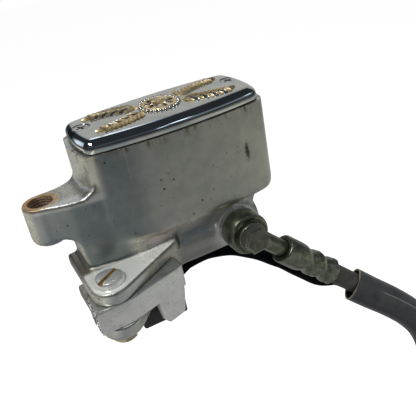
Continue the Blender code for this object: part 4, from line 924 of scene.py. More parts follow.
def makeCoverScrew(name, x, y):
    head = cover["screwHead"]
    top = cover["top"] - 0.2 * mm
    screw = spinShape(name, [
        (20.5 * mm, 0), (20.5 * mm, head - 0.5 * mm), (20.2 * mm, head), (18.2 * mm, 2 * mm), (0.5 * mm, 2 * mm),
        (0, 1.5 * mm), (0, 0),
    ], (x, y, top - 20.5 * mm), up, 48)
    cutters = []
    for turn in (20, 110):
        wing = block("wing", (-2.4 * mm, -0.55 * mm, -2.2 * mm), (2.4 * mm, 0.55 * mm, 2 * mm), 0.15 * mm, 1)
        wing.rotation_euler.z = math.radians(turn)
        wing.location = (x, y, top)
        cutters.append(settle(wing))
    return smoothShade(cutAway(screw, *cutters), 30)


# Generic ornament: an oval rosette with a beaded rim between four leafy sprays

ornament = {
    "centre": (14.4 * mm, -21.45 * mm, 65.2 * mm),
    "medallion": (8.4 * mm, 9.6 * mm, 1.1 * mm),
    "beads": 26,
    "petals": 9,
    "leaves": 9,
    "leafLength": 3.6 * mm,
    "reach": 21.5 * mm,
}


def makeLeaf():
    # A pointed leaf with a raised middle rib.
    half = [(-1, 0), (-0.82, 0.2), (-0.5, 0.38), (-0.1, 0.46), (0.3, 0.41), (0.65, 0.26), (0.88, 0.1), (1, 0)]
    outline = half + [(x, -y) for x, y in half[-2:0:-1]]
    piece = drawOutline("leaf", setOut([(x * mm, y * mm) for x, y in outline], "Z", -0.15 * mm))
    for rise, length, width in ((0.3, 0.98, 0.97), (0.16, 0.9, 0.62), (0.14, 0.78, 0.3), (0.1, 0.66, 0.08)):
        bpy.ops.mesh.extrude_region_move(TRANSFORM_OT_translate={"value": (0, 0, rise * mm)})
        bpy.ops.transform.resize(value=(length, width, 1), center_override=(0, 0, 0))
    faceOutward()
    leaveEdit()
    return piece


def placeCopy(model, place, size, heading=0.0):
    twin = copyPiece(model, "copy")
    twin.location = place
    twin.rotation_euler.z = heading
    twin.scale = size
    return settle(twin)


def makeBead():
    deselectAll()
    bpy.ops.mesh.primitive_uv_sphere_add(segments=14, ring_count=8, radius=mm)
    piece = bpy.context.object
    edit(piece)
    bpy.ops.mesh.bisect(plane_co=(0, 0, -0.2 * mm), plane_no=(0, 0, 1), clear_inner=True, use_fill=True)
    leaveEdit()
    return piece


def makeOrnament():
    centre = Vector(ornament["centre"])
    halfX, halfY, rise = ornament["medallion"]
    leaf, bead = makeLeaf(), makeBead()
    gold, bright = [], []
    base = spinShape("medallion", [
        (0.45 * mm, 0), (0.5 * mm, 0.5 * mm), (0.35 * mm, 0.72 * mm), (0.75 * mm, 0.8 * mm), (0.85 * mm, 0.86 * mm),
        (0.75 * mm, 0.92 * mm), (0.3 * mm, 0.97 * mm), (-0.1 * mm, mm), (-0.1 * mm, 0),
    ], (0, 0, 0), up, 72)
    base.location = centre
    base.scale = (halfX / mm, halfY / mm, rise / mm)
    gold.append(settle(base))
    for step in range(ornament["beads"]):
        turn = math.tau * step / ornament["beads"]
        place = centre + Vector((halfX * 1.02 * math.cos(turn), halfY * 1.02 * math.sin(turn), 0.15 * mm))
        bright.append(placeCopy(bead, place, (0.85, 0.85, 0.95)))
    for ring, (count, share, size) in enumerate(((ornament["petals"], 0.52, 2.7), (ornament["petals"], 0.26, 1.9))):
        for step in range(count):
            turn = math.tau * (step + ring / 2) / count
            place = centre + Vector((halfX * share * math.cos(turn), halfY * share * math.sin(turn),
                                     (0.35 + 0.35 * ring) * mm))
            (gold if ring else bright).append(placeCopy(leaf, place, (size, size, 1.3), turn))
    gold.append(placeCopy(bead, centre + up * 0.75 * mm, (1.5, 1.5, 1.0)))
    for side in (-1, 1):
        for lean in (-1, 1):
            def stemPoint(share):
                start = halfX * 0.85
                sweep = lean * (3.4 + 6.4 * math.sin(share * math.pi / 2)) * mm
                return centre + Vector((side * (start + ornament["reach"] * share), sweep, 0.1 * mm))
            stem = sweepTube("stem", [stemPoint(step / 14) for step in range(15)],
                             lambda along, turn: 0.55 * mm, 10)
            gold.append(stem)
            for index in range(ornament["leaves"] + 1):
                share = 0.14 + 0.86 * index / ornament["leaves"]
                place = stemPoint(share)
                ahead = stemPoint(share + 0.02) - place
                heading = math.atan2(ahead.y, ahead.x)
                length = ornament["leafLength"] / mm * (1 - 0.3 * share)
                for spread in ((-44, 44) if index < ornament["leaves"] else (0,)):
                    turn = heading + math.radians(spread)
                    middlePlace = place + Vector((math.cos(turn), math.sin(turn), 0)) * length * 0.85 * mm
                    outer = spread * lean > 0
                    (bright if outer and index % 2 else gold).append(
                        placeCopy(leaf, middlePlace, (length, length * 0.95, 1.75), turn))
    bpy.data.objects.remove(leaf, do_unlink=True)
    bpy.data.objects.remove(bead, do_unlink=True)
    goldPart, brightPart = join("coverOrnament", *gold), join("coverOrnamentBright", *bright)
    return smoothShade(goldPart, 24), smoothShade(brightPart, 24)


# Brake lever stub, its pivot bolt and nut

lever = {
    "top": 2.6 * mm,
    "bottom": -9.0 * mm,
    "broken": -45.5 * mm,
    "rim": 0.9 * mm,
    "roughness": 0.6 * mm,
}


def makeFracture():
    # A rough broken surface, thickened outboard into a cutter.
    deselectAll()
    bpy.ops.mesh.primitive_grid_add(x_subdivisions=22, y_subdivisions=30, size=1)
    tool = bpy.context.object
    tool.scale = (16 * mm, 24 * mm, 1)
    tool.rotation_euler.y = math.radians(90)
    tool.location = (lever["broken"] + 0.9 * mm, body["pivot"][1], -3 * mm)
    settle(tool)
    edit(tool)
    bpy.ops.transform.vertex_random(offset=lever["roughness"], uniform=1.0, normal=0.0, seed=4)
    bpy.ops.mesh.extrude_region_move(TRANSFORM_OT_translate={"value": (-6 * mm, 0, 0)})
    faceOutward()
    leaveEdit()
    return tool


def makeLeverStub():
    pivotX, pivotY = body["pivot"]
    front, end, broken = pivotY - 8.5 * mm, -1.4 * mm, lever["broken"]
    outline = rounded([
        (broken, front - 0.6 * mm, 0), (pivotX + 3.8 * mm, front, 7 * mm), (end, pivotY + 0.6 * mm, 2 * mm),
        (end, pivotY + 9.6 * mm, 2 * mm), (pivotX + 9.5 * mm, pivotY + 8 * mm, 4 * mm),
        (-33.3 * mm, pivotY + 12 * mm, 4 * mm), (-33.3 * mm, -22 * mm, 2 * mm), (-41 * mm, -22 * mm, 2 * mm),
        (-41 * mm, pivotY + 8.5 * mm, 3 * mm), (broken + 0.3 * mm, pivotY + 4.6 * mm, 0),
        (broken - 0.3 * mm, pivotY + 1.5 * mm, 0), (broken + 0.4 * mm, pivotY - 1.5 * mm, 0),
        (broken - 0.2 * mm, pivotY - 5 * mm, 0),
    ])
    arm = plate("brakeLeverStub", outline, "Z", lever["bottom"], lever["top"], lever["rim"], lever["rim"], 3)
    # The leg stands flush with the arm's slanted front.
    leg = plate("leg", rounded([
        (14.2 * mm, -6 * mm, 0), (14.4 * mm, -10 * mm, 0), (16.4 * mm, -21.4 * mm, 2.2 * mm),
        (26.6 * mm, -21.4 * mm, 2.6 * mm), (28.6 * mm, -12 * mm, 0), (29.3 * mm, -6 * mm, 0),
    ]), "Y", 0.02 * mm, 4.8 * mm, 0.7 * mm, 0.7 * mm, 3)
    leg.rotation_euler.z = math.atan2(9.1, 28.8)
    leg.location = (pivotX + 3.8 * mm, front, 0)
    combine(arm, [settle(leg)], "UNION")
    cutAway(arm, rod("pivotHole", (pivotX, pivotY, -12 * mm), up, body["pivotHole"], 20 * mm), makeFracture())
    return smoothShade(arm, 32)


def hexagon(centre, flat, turn=0):
    return arc(centre, flat / 2 / math.cos(math.radians(30)), turn, turn + 360, 6)[:-1]


def makePivotBolt():
    # Polished edge, brushed top and a deep slot.
    x, y = body["pivot"]
    head = 6.2 * mm
    bolt = spinShape("pivotBolt", [
        (12.25 * mm, 0), (12.2 * mm, head - 1.5 * mm), (12.0 * mm, head - 0.8 * mm), (11.6 * mm, head - 0.25 * mm),
        (11.0 * mm, head), (9.2 * mm, head), (9.2 * mm, 4 * mm), (-9.1 * mm, 4 * mm), (-9.1 * mm, 3 * mm),
        (-20.4 * mm, 3 * mm), (-21 * mm, 2.4 * mm), (-21 * mm, 0),
    ], (x, y, 0), up, 72)
    slot = block("slot", (-8 * mm, -1.0 * mm, -1.0 * mm), (8 * mm, 1.0 * mm, 2 * mm))
    slot.rotation_euler.z = body["boltSlotTurn"]
    slot.location = (x, y, 12.2 * mm)
    return smoothShade(cutAway(bolt, settle(slot)), 30)


def makePivotNut():
    x, y = body["pivot"]
    nut = plate("pivotNut", hexagon((x, y), 10 * mm, 12), "Z", -20 * mm, -15.3 * mm)
    chamfer = spinShape("chamfer", [
        (4.7 * mm, 0), (4.7 * mm, 5.1 * mm), (4.1 * mm, 6 * mm), (0.9 * mm, 6 * mm), (0, 4.9 * mm), (0, 0),
    ], (x, y, -20 * mm), up)
    overlap(nut, chamfer)
    return smoothShade(cutAway(nut, rod("thread", (x, y, -21 * mm), up, 3.3 * mm, 8 * mm)), 25)


# Brake light switch and its connector

def makeSwitch():
    case = block("brakeLightSwitch", (-24 * mm, -47 * mm, -26 * mm), (-2 * mm, -22 * mm, -15.3 * mm), 1.1 * mm, 3)
    rib = block("rib", (-24.4 * mm, -44.5 * mm, -21.2 * mm), (-1.6 * mm, -24.5 * mm, -20.6 * mm))
    snout = rod("snout", (-9.5 * mm, -45 * mm, -18 * mm), forward, 2.9 * mm, 2.6 * mm, 40, 0.3 * mm)
    gland = rod("gland", (-3.7 * mm, -26 * mm, -19.2 * mm), right, 3.2 * mm, 3.7 * mm, 40, 0.5 * mm)
    combine(case, [rib, snout, gland], "UNION")
    cutAway(case, rod("plungerHole", (-9.5 * mm, -51 * mm, -18 * mm), back, 1.8 * mm, 12.5 * mm, 32),
            rod("screwHole", (-6 * mm, -28 * mm, -27 * mm), up, 2.3 * mm, 20 * mm, 32))
    return smoothShade(case, 30)


def makeConnector():
    x, y = 169.36 * mm, -39.91 * mm
    shell = block("leadConnector", (x - 5 * mm, y - 4 * mm, -235.06 * mm), (x + 5 * mm, y + 4 * mm, -215.06 * mm),
                  0.9 * mm, 3)
    latch = block("latch", (x - 1.8 * mm, y - 4.7 * mm, -232 * mm), (x + 1.8 * mm, y - 3.5 * mm, -219 * mm),
                  0.3 * mm)
    ribs = [block("rib", (x - 5.3 * mm, y - 3 * mm, z * mm), (x + 5.3 * mm, y + 3 * mm, (z + 0.9) * mm))
            for z in (-219, -221.4, -223.8)]
    combine(shell, [latch] + ribs, "UNION")
    cutAway(shell, block("mouth", (x - 3.5 * mm, y - 2.5 * mm, -238 * mm),
                         (x + 3.5 * mm, y + 2.5 * mm, -225.6 * mm)))
    return smoothShade(shell, 30)


# Banjo joint and hose ends

banjo = {
    "eye": (34 * mm, -45.6 * mm, 2 * mm),
    "hoseWay": (0.71325, 0, -0.70091),
    "eyeRadius": 10 * mm,
    "eyeWidth": 10 * mm,
    "neckRadius": 4.3 * mm,
    "neckLength": 28.5 * mm,
    "ferruleStart": 20.5 * mm,
    "ferruleFace": 5 * mm,
    "farEye": (156 * mm, -66.8 * mm, -360.17 * mm),
    "hexFlat": 12 * mm,
}


def makeBanjoEye(name, centre, axis, along):
    radius, half, bore = banjo["eyeRadius"], banjo["eyeWidth"] / 2, 5 * mm
    ring = spinShape(name, [
        (half, bore), (half, radius - 0.9 * mm), (half - 0.3 * mm, radius - 0.3 * mm), (half - 0.9 * mm, radius),
        (0.9 * mm - half, radius), (0.3 * mm - half, radius - 0.3 * mm), (-half, radius - 0.9 * mm), (-half, bore),
        (-2 * mm, bore), (-1.6 * mm, bore + 1.2 * mm), (1.6 * mm, bore + 1.2 * mm), (2 * mm, bore),
    ], centre, axis, 72, closed=True)
    neck, length = banjo["neckRadius"], banjo["neckLength"]
    pipe = spinShape("neck", [
        (length, 0), (length, neck - 0.6 * mm), (length - 0.6 * mm, neck), (radius + 1.6 * mm, neck),
        (radius + 0.6 * mm, neck + 0.15 * mm), (radius - 0.5 * mm, neck + 0.6 * mm),
        (radius - 2.5 * mm, neck + 1.0 * mm), (radius - 2.5 * mm, 0),
    ], centre, along, 48)
    return smoothShade(combine(ring, [pipe], "UNION"), 30)


def makeFerrule(name, start, along):
    # A pressed sleeve: smooth at the neck, then a crimped bulge and a flared crimped end.
    along = Vector(along).normalized()
    face = banjo["ferruleFace"] / mm
    profile = [(42, 0), (42, 6.7), (41.7, 7.15), (41.0, 7.3), (39.0, 7.1), (36.8, 6.5), (34.8, 5.95), (33.3, 5.75),
               (32.2, 5.95), (30.5, 6.75), (28.4, 7.15), (26.4, 6.95), (24.4, 6.3), (22.8, 5.95), (21.6, 6.05),
               (20.2, 6.5), (18.2, 7.0), (15.5, 7.2), (9, 7.15), (face + 1.1, 7.15), (face + 0.45, 7.05),
               (face + 0.1, 6.7), (face, 6.3), (face, 4.9), (face + 0.5, 4.5), (8.3, 4.5), (8.3, 0)]
    ferrule = spinShape(name, [(h * mm, r * mm) for h, r in profile], start, along, 72)
    side = along.orthogonal().normalized()
    cutters = []
    for count, low, high, depth in ((8, 24.2, 31.0, 6.5), (8, 35.6, 43.0, 6.55)):
        for step in range(count):
            turn = math.tau * (step + 0.5) / count
            out = side * math.cos(turn) + along.cross(side) * math.sin(turn)
            tool = block("tool", (-2.1 * mm, (low - 0.5) * mm, depth * mm), (2.1 * mm, (high + 0.5) * mm, 9 * mm),
                         0.9 * mm, 3)
            turned = Matrix((out.cross(along) * -1, along, out)).transposed().to_4x4()
            tool.matrix_world = Matrix.Translation(start) @ turned
            cutters.append(settle(tool))
    cutAway(ferrule, *cutters)
    return smoothShade(ferrule, 40)


def makeBanjoBolt():
    x, z = body["banjo"]
    base = -52.2 * mm
    head = plate("banjoBolt", hexagon((x, z), banjo["hexFlat"], 6), "Y", base - 6 * mm, base, 0, 0.95 * mm, 1)
    flange = rod("flange", (x, base - 1.1 * mm, z), back, 6.9 * mm, 1.4 * mm, 64, 0.2 * mm)
    combine(head, [flange], "UNION")
    stem = rod("stem", (x, base - mm, z), back, 4.7 * mm, 19.2 * mm, 40, 0.6 * mm)
    combine(head, [stem], "UNION")
    dimple = rod("dimple", (x, base - 5.7 * mm, z), forward, 0.55 * mm, mm, 16)
    cutAway(head, rod("drilling", (x, base + 20 * mm, z), forward, 1.8 * mm, 15 * mm, 24), dimple)
    applyModifier(head, "BEVEL", width=0.18 * mm, segments=2, limit_method="ANGLE", angle_limit=math.radians(35))
    return smoothShade(head, 22)


# Handlebar clamp

def makeClampCap():
    outline = rounded([
        (0.3 * mm, -25 * mm, 0), (9 * mm, -25 * mm, 1.5 * mm), (9 * mm, -16 * mm, 2 * mm),
        (20 * mm, -12.5 * mm, 9 * mm), (20 * mm, 12.5 * mm, 9 * mm), (9 * mm, 16 * mm, 2 * mm),
        (9 * mm, 25 * mm, 1.5 * mm), (0.3 * mm, 25 * mm, 0),
    ])
    cap = plate("clampCap", outline, "X", -14 * mm, 14 * mm, 0.9 * mm, 0.9 * mm, 3)
    cutters = [rod("seat", (-30 * mm, 0, 0), right, body["seatRadius"], 60 * mm, 96)]
    for side in (-1, 1):
        z = side * body["clampBoltHeight"]
        cutters.append(rod("headSeat", (0, 8.5 * mm, z), back, 5.6 * mm, 20 * mm, 48))
        cutters.append(rod("boltHole", (0, 9.5 * mm, z), forward, 3.3 * mm, 12 * mm, 32))
    return smoothShade(cutAway(cap, *cutters), 30)


def makeClampBolt(name, side):
    # A socket head cap screw with a knurled head.
    base, z = 8.7 * mm, side * body["clampBoltHeight"]
    bolt = spinShape(name, [
        (6 * mm, 0), (6 * mm, 4.5 * mm), (5.5 * mm, 5 * mm), (0.3 * mm, 5 * mm), (0, 4.7 * mm), (0, 3 * mm),
        (-24.1 * mm, 3 * mm), (-24.7 * mm, 2.4 * mm), (-24.7 * mm, 0),
    ], (0, base, z), back, 48)
    socket = plate("socket", hexagon((0, z), 5 * mm), "Y", base + 2.5 * mm, base + 7 * mm)
    return smoothShade(cutAway(bolt, socket), 30)


# Sight glass, piston boot and spring

def makeSightGlass():
    x, z = body["sight"]
    return smoothShade(spinShape("sightGlass", [
        (3.75 * mm, 0), (3.7 * mm, 4 * mm), (3.5 * mm, 6.0 * mm), (3.2 * mm, 6.6 * mm), (3.0 * mm, 8.9 * mm),
        (2.7 * mm, 9.2 * mm), (2.4 * mm, 9.2 * mm), (2.4 * mm, 6.3 * mm), (0.3 * mm, 6.3 * mm), (0, 6 * mm), (0, 0),
    ], (x, -5.3 * mm, z), back, 64), 30)


def makeDustBoot():
    # One soft fold between the rim in the bore and the lip round the piston's nose.
    outer = [(-16.2, 6.7), (-16.2, 8.3), (-19.2, 8.3), (-19.9, 7.4), (-20.3, 6.2), (-21.2, 5.9), (-22.4, 6.2),
             (-23.1, 6.35), (-24.2, 6.0), (-25.2, 5.6), (-26.4, 5.4), (-27.2, 5.55), (-28.6, 5.55), (-29.0, 5.3)]
    inner = [(-29.0, 4.5), (-26.6, 4.5), (-24.5, 4.8), (-22.7, 5.3), (-20.4, 4.95), (-18.2, 6.7)]
    return smoothShade(spinShape("dustBoot", [((x + 29) * mm, r * mm) for x, r in outer + inner],
                                 (-29 * mm, body["boreY"], 0), right, 56, closed=True), 40)


def makeSpring():
    wire, radius, turns, start, end = 0.55 * mm, 4.3 * mm, 6, 18.1 * mm, 43.68 * mm
    route = []
    for step in range(turns * 20 + 1):
        turn = step / 20
        share = min(max((turn - 0.8) / (turns - 1.6), 0), 1)
        creep = wire * 2.1 * (min(turn, 0.8) + max(turn - turns + 0.8, 0))
        x = start + wire + creep + (end - start - 2 * wire - 3.36 * wire) * share
        angle = math.tau * turn
        route.append(Vector((x, body["boreY"] + radius * math.cos(angle), radius * math.sin(angle))))
    return sweepTube("returnSpring", route, lambda along, turn: wire, 10)


# Finishes. Colours are linear, and grain sizes are given as cells per metre.

def castFinish():
    finish, tree, shader, coords = newFinish("castAluminium", 1.0)
    place = coords.outputs["Object"]
    x, y, z = split(tree, place)
    facingX, facingY, facingZ = split(tree, coords.outputs["Normal"])
    # Polished where it faces forward and on top of the ear, as cast elsewhere.
    front = ramp(tree, facingY, -0.55, -0.85)
    earTop = times(tree, ramp(tree, facingZ, 0.7, 0.95), ramp(tree, z, 10.5 * mm, 9.5 * mm))
    earTop = times(tree, earTop, ramp(tree, y, -38 * mm, -42 * mm))
    polished = most(tree, front, earTop)
    barrelZone = times(tree, ramp(tree, x, 0.0, 4 * mm), ramp(tree, z, 13 * mm, 10 * mm))
    collar = spot(tree, place, (34 * mm, -38 * mm, 2 * mm), (17.5 * mm, 9 * mm, 17.5 * mm))
    ledge = times(tree, ramp(tree, z, 18.5 * mm, 15.5 * mm), ramp(tree, x, -22 * mm, -15 * mm))
    rough = most(tree, math2(tree, "SUBTRACT", 1.0, polished), most(tree, barrelZone, ledge))
    rough = times(tree, rough, math2(tree, "SUBTRACT", 1.0, collar), True)
    clouds = noise(tree, place, 26, 3.0)
    blotches = noise(tree, place, 140, 4.0, rough=0.6)
    grain = noise(tree, place, 1100, 3.0, rough=0.65)
    scratches = noise(tree, place, 900, 4.0, stretch=(0.06, 1, 1), rough=0.7)
    across = ramp(tree, x, -56 * mm, 58 * mm)
    # Painted reflections: the polished colour runs in bands along x, beige at the arm's end, blue-grey, pinkish and
    # green-grey across the front, and lighter at the right end.
    polishedToneAndPaintedReflections = colourRamp(tree, math2(tree, "ADD", across, scaled(tree, clouds, 0.06)), [
        (0.02, (0.74, 0.74, 0.68)), (0.13, (0.31, 0.34, 0.37)), (0.30, (0.22, 0.25, 0.275)),
        (0.38, (0.29, 0.28, 0.30)), (0.45, (0.33, 0.305, 0.325)), (0.56, (0.25, 0.275, 0.28)),
        (0.82, (0.235, 0.26, 0.25)), (1.0, (0.36, 0.37, 0.33)),
    ])
    tint = blendColour(tree, ramp(tree, blotches, 0.3, 0.75), (0.86, 0.87, 0.86), (1.1, 1.09, 1.07))
    polishedToneAndPaintedReflections = blendColour(tree, 1.0, polishedToneAndPaintedReflections, tint, "MULTIPLY")
    # Painted highlight: a beige band down the reservoir's front-left edge.
    paintedCornerHighlight = times(tree, ramp(tree, x, -21.5 * mm, -25.5 * mm), ramp(tree, z, 38 * mm, 46 * mm))
    polishedToneAndPaintedReflections = tinted(tree, polishedToneAndPaintedReflections, paintedCornerHighlight, 0.6, (0.60, 0.57, 0.49))
    # Painted highlight: a bright line along the arm's top front edge.
    paintedRidgeHighlight = ramp(tree, offFrom(tree, z, 41.2 * mm), 2.4 * mm, 0.7 * mm)
    paintedRidgeHighlight = times(tree, paintedRidgeHighlight, ramp(tree, x, -22 * mm, -27 * mm))
    paintedRidgeHighlight = times(tree, paintedRidgeHighlight, ramp(tree, y, -30 * mm, -34 * mm))
    # Painted light: the ear's front below its top is made paler.
    paintedLowEarLight = times(tree, ramp(tree, z, 10 * mm, 8.5 * mm), ramp(tree, x, 2 * mm, -2 * mm))
    polishedToneAndPaintedReflections = blendColour(tree, paintedLowEarLight, polishedToneAndPaintedReflections, (0.47, 0.49, 0.46))
    # Painted light: the ear's top is made much paler, as if lit from above.
    polishedToneAndPaintedReflections = blendColour(tree, earTop, polishedToneAndPaintedReflections, (0.74, 0.76, 0.72))
    cast = colourRamp(tree, blotches, [(0.3, (0.43, 0.41, 0.36)), (0.5, (0.55, 0.535, 0.475)),
                                       (0.72, (0.70, 0.685, 0.62))])
    # Painted light: the as-cast colour is made pale on the ear's top as well.
    cast = blendColour(tree, earTop, cast, (0.76, 0.78, 0.74))
    # Painted light: the reservoir's outboard end wall, facing left, is made paler.
    paintedEndWallLight = times(tree, ramp(tree, facingX, -0.4, -0.8), ramp(tree, z, 38 * mm, 44 * mm))
    cast = tinted(tree, cast, paintedEndWallLight, 0.75, (0.84, 0.84, 0.76))
    cast = blendColour(tree, 1.0, cast, blendColour(tree, ramp(tree, grain, 0.3, 0.7), (0.72, 0.71, 0.70),
                                                    (1.18, 1.17, 1.15)), "MULTIPLY")
    # Painted reflection: a pinkish tint in the dip just above the ledge.
    paintedHollowReflection = spot(tree, place, (-6 * mm, -38 * mm, 12 * mm), (14 * mm, 7 * mm, 3.2 * mm))
    cast = tinted(tree, cast, paintedHollowReflection, 0.6, (0.55, 0.47, 0.48))
    # Painted shade: the barrel's colour darkens towards its underside.
    cast = tinted(tree, cast, barrelZone, 0.8,
                  blendColour(tree, ramp(tree, z, -8 * mm, 4 * mm), (0.19, 0.20, 0.185), (0.30, 0.31, 0.29)))
    machined = times(tree, ramp(tree, x, -24 * mm, -28 * mm), ramp(tree, z, 14 * mm, 11 * mm))
    machined = times(tree, machined, ramp(tree, y, -42 * mm, -37 * mm))
    cast = tinted(tree, cast, machined, 0.8, (0.25, 0.215, 0.17))
    colour = blendColour(tree, rough, polishedToneAndPaintedReflections, cast)
    colour = tinted(tree, colour, paintedRidgeHighlight, 0.5, (0.78, 0.78, 0.74))
    # Painted highlight: the collar round the banjo boss is made bright.
    colour = tinted(tree, colour, collar, 0.8, (0.66, 0.67, 0.67))
    # Ridges are made paler, as wear and as a painted highlight, and the inner corners darker, as grime and as
    # painted shade.
    point = addNode(tree, "NewGeometry").outputs["Pointiness"]
    ridge = times(tree, ramp(tree, point, 0.525, 0.60), ramp(tree, blotches, 0.2, 0.55))
    colour = tinted(tree, colour, ridge, 0.75, (0.80, 0.79, 0.75))
    crevice = times(tree, ramp(tree, point, 0.475, 0.42), 0.65)
    colour = blendColour(tree, crevice, colour, (0.12, 0.11, 0.09))
    # Pits, tarnish under the cover and stains.
    pits = most(tree, specks(tree, place, 190, 0.14, 0.2), specks(tree, place, 520, 0.2, 0.1))
    colour = tinted(tree, colour, pits, 0.8, (0.05, 0.045, 0.04))
    drip = times(tree, ramp(tree, z, 53.5 * mm, 58.5 * mm),
                 ramp(tree, noise(tree, place, 330, 4.0, stretch=(1, 1, 0.35), rough=0.7), 0.5, 0.66))
    colour = tinted(tree, colour, drip, 0.75, (0.15, 0.115, 0.06))
    stain = times(tree, spot(tree, place, (43.5 * mm, -41 * mm, 38.5 * mm), (1.9 * mm, 14 * mm, 6.5 * mm)),
                  ramp(tree, noise(tree, place, 700, 4.0, rough=0.7), 0.36, 0.5))
    colour = tinted(tree, colour, stain, 0.85, (0.10, 0.075, 0.03))
    # Rust on the mirror boss and down its thread.
    fromHole = addNode(tree, "Mapping", {"Vector": place, "Location": (48 * mm, 25.5 * mm, 0), "Scale": (1, 1, 0)})
    reach = addNode(tree, "VectorMath", {0: fromHole.outputs[0]}, operation="LENGTH").outputs["Value"]
    ringZone = times(tree, ramp(tree, reach, 8.6 * mm, 7.4 * mm), ramp(tree, z, 40.8 * mm, 41.8 * mm))
    rusty = times(tree, ringZone, ramp(tree, noise(tree, place, 260, 4.0, rough=0.7), 0.36, 0.50))
    colour = tinted(tree, colour, rusty, 0.9,
                    blendColour(tree, blotches, (0.50, 0.27, 0.10), (0.74, 0.50, 0.24)))
    thread = times(tree, ramp(tree, reach, 5.9 * mm, 5.4 * mm), ramp(tree, z, 24 * mm, 26 * mm))
    colour = tinted(tree, colour, thread, 0.85,
                    blendColour(tree, ramp(tree, grain, 0.35, 0.65), (0.14, 0.085, 0.05), (0.34, 0.22, 0.13)))
    plug(tree, colour, shader, "Base Color")
    # The ear's top and the arm's end are dulled by wear.
    armEnd = times(tree, ramp(tree, x, -46 * mm, -53 * mm), ramp(tree, z, 41.5 * mm, 40 * mm))
    matt = most(tree, earTop, times(tree, armEnd, 0.7))
    matt = most(tree, matt, times(tree, collar, 0.8))
    plug(tree, ramp(tree, matt, 0.0, 1.0, 1.0, 0.45), shader, "Metallic")
    dull = most(tree, most(tree, drip, stain), most(tree, rusty, thread))
    soft = scaled(tree, rough, 0.16, 0.27)
    soft = math2(tree, "ADD", soft, times(tree, blotches, 0.12))
    plug(tree, most(tree, soft, times(tree, dull, 0.75)), shader, "Roughness")
    height = times(tree, grain, scaled(tree, rough, 0.9))
    height = math2(tree, "ADD", height, times(tree, scratches, 0.22))
    height = math2(tree, "SUBTRACT", height, times(tree, pits, 1.5))
    bump(tree, shader, height, 0.07 * mm, 0.8)
    return finish


def metalFinish(name, dark, light, roughness, grainScale=900, cloudScale=120, depth=0.02 * mm, stretch=(1, 1, 1),
                wear=None, dirtAndShade=None, metallic=1.0):
    # A metal with drifting tone, fine grain or brushing, worn edges, and grime with painted shade in its corners.
    finish, tree, shader, coords = newFinish(name, metallic)
    place = coords.outputs["Object"]
    clouds = noise(tree, place, cloudScale, 4.0, rough=0.6)
    grain = noise(tree, place, grainScale, 4.0, stretch=stretch, rough=0.65)
    colour = colourRamp(tree, clouds, [(0.32, dark), (0.68, light)])
    tint = blendColour(tree, ramp(tree, grain, 0.3, 0.7), (0.88, 0.88, 0.88), (1.08, 1.08, 1.08))
    colour = blendColour(tree, 1.0, colour, tint, "MULTIPLY")
    if wear:
        soft = addNode(tree, "Bevel", {"Radius": 0.35 * mm}, samples=6).outputs[0]
        flat = addNode(tree, "NewGeometry").outputs["Normal"]
        turned = addNode(tree, "VectorMath", {0: soft, 1: flat}, operation="DOT_PRODUCT").outputs["Value"]
        edge = times(tree, ramp(tree, turned, 0.985, 0.9), ramp(tree, clouds, 0.2, 0.5))
        colour = blendColour(tree, edge, colour, wear)
    if dirtAndShade:
        # Painted shade: ambient occlusion darkens the corners, in a grime colour.
        exposed = addNode(tree, "AmbientOcclusion", {"Distance": 0.8 * mm}, samples=6,
                          only_local=True).outputs["AO"]
        colour = blendColour(tree, ramp(tree, exposed, 0.7, 0.3), colour, dirtAndShade)
    plug(tree, colour, shader, "Base Color")
    plug(tree, scaled(tree, clouds, 0.14, roughness - 0.07), shader, "Roughness")
    bump(tree, shader, grain, depth, 0.7)
    return finish, tree, shader, place


def coverFinish():
    finish, tree, shader, coords = newFinish("coverChrome", 1.0)
    place = coords.outputs["Object"]
    facing = split(tree, coords.outputs["Normal"])[2]
    flat = ramp(tree, facing, 0.9, 0.995)
    haze = noise(tree, place, 90, 5.0, rough=0.65)
    swirl = noise(tree, place, 1500, 3.0, stretch=(0.08, 1, 1), rough=0.7)
    colour = colourRamp(tree, haze, [(0.3, (0.42, 0.44, 0.42)), (0.7, (0.54, 0.56, 0.53))])
    specksMask = specks(tree, place, 240, 0.12, 0.16)
    colour = tinted(tree, colour, specksMask, 0.7, (0.10, 0.09, 0.08))
    yellow = times(tree, spot(tree, place, (-17.5 * mm, -36.5 * mm, 65 * mm), (2.2 * mm, 1.6 * mm, 4 * mm)),
                   ramp(tree, noise(tree, place, 800, 3.0), 0.4, 0.5))
    colour = blendColour(tree, yellow, colour, (0.42, 0.34, 0.04))
    # The screw wells are painted dark.
    low = ramp(tree, split(tree, place)[2], 64.9 * mm, 64.5 * mm)
    for screwX, screwY in screwPlaces:
        off = addNode(tree, "Mapping", {"Vector": place, "Location": (-screwX, -screwY, 0), "Scale": (1, 1, 0)})
        reach = addNode(tree, "VectorMath", {0: off.outputs[0]}, operation="LENGTH").outputs["Value"]
        well = times(tree, ramp(tree, reach, 6.6 * mm, 6.0 * mm), low)
        colour = tinted(tree, colour, well, 0.85, (0.07, 0.06, 0.045))
    plug(tree, colour, shader, "Base Color")
    soft = scaled(tree, times(tree, flat, haze), 0.26, 0.06)
    plug(tree, most(tree, soft, times(tree, yellow, 0.7)), shader, "Roughness")
    bump(tree, shader, times(tree, swirl, flat), 0.008 * mm, 0.6)
    return finish


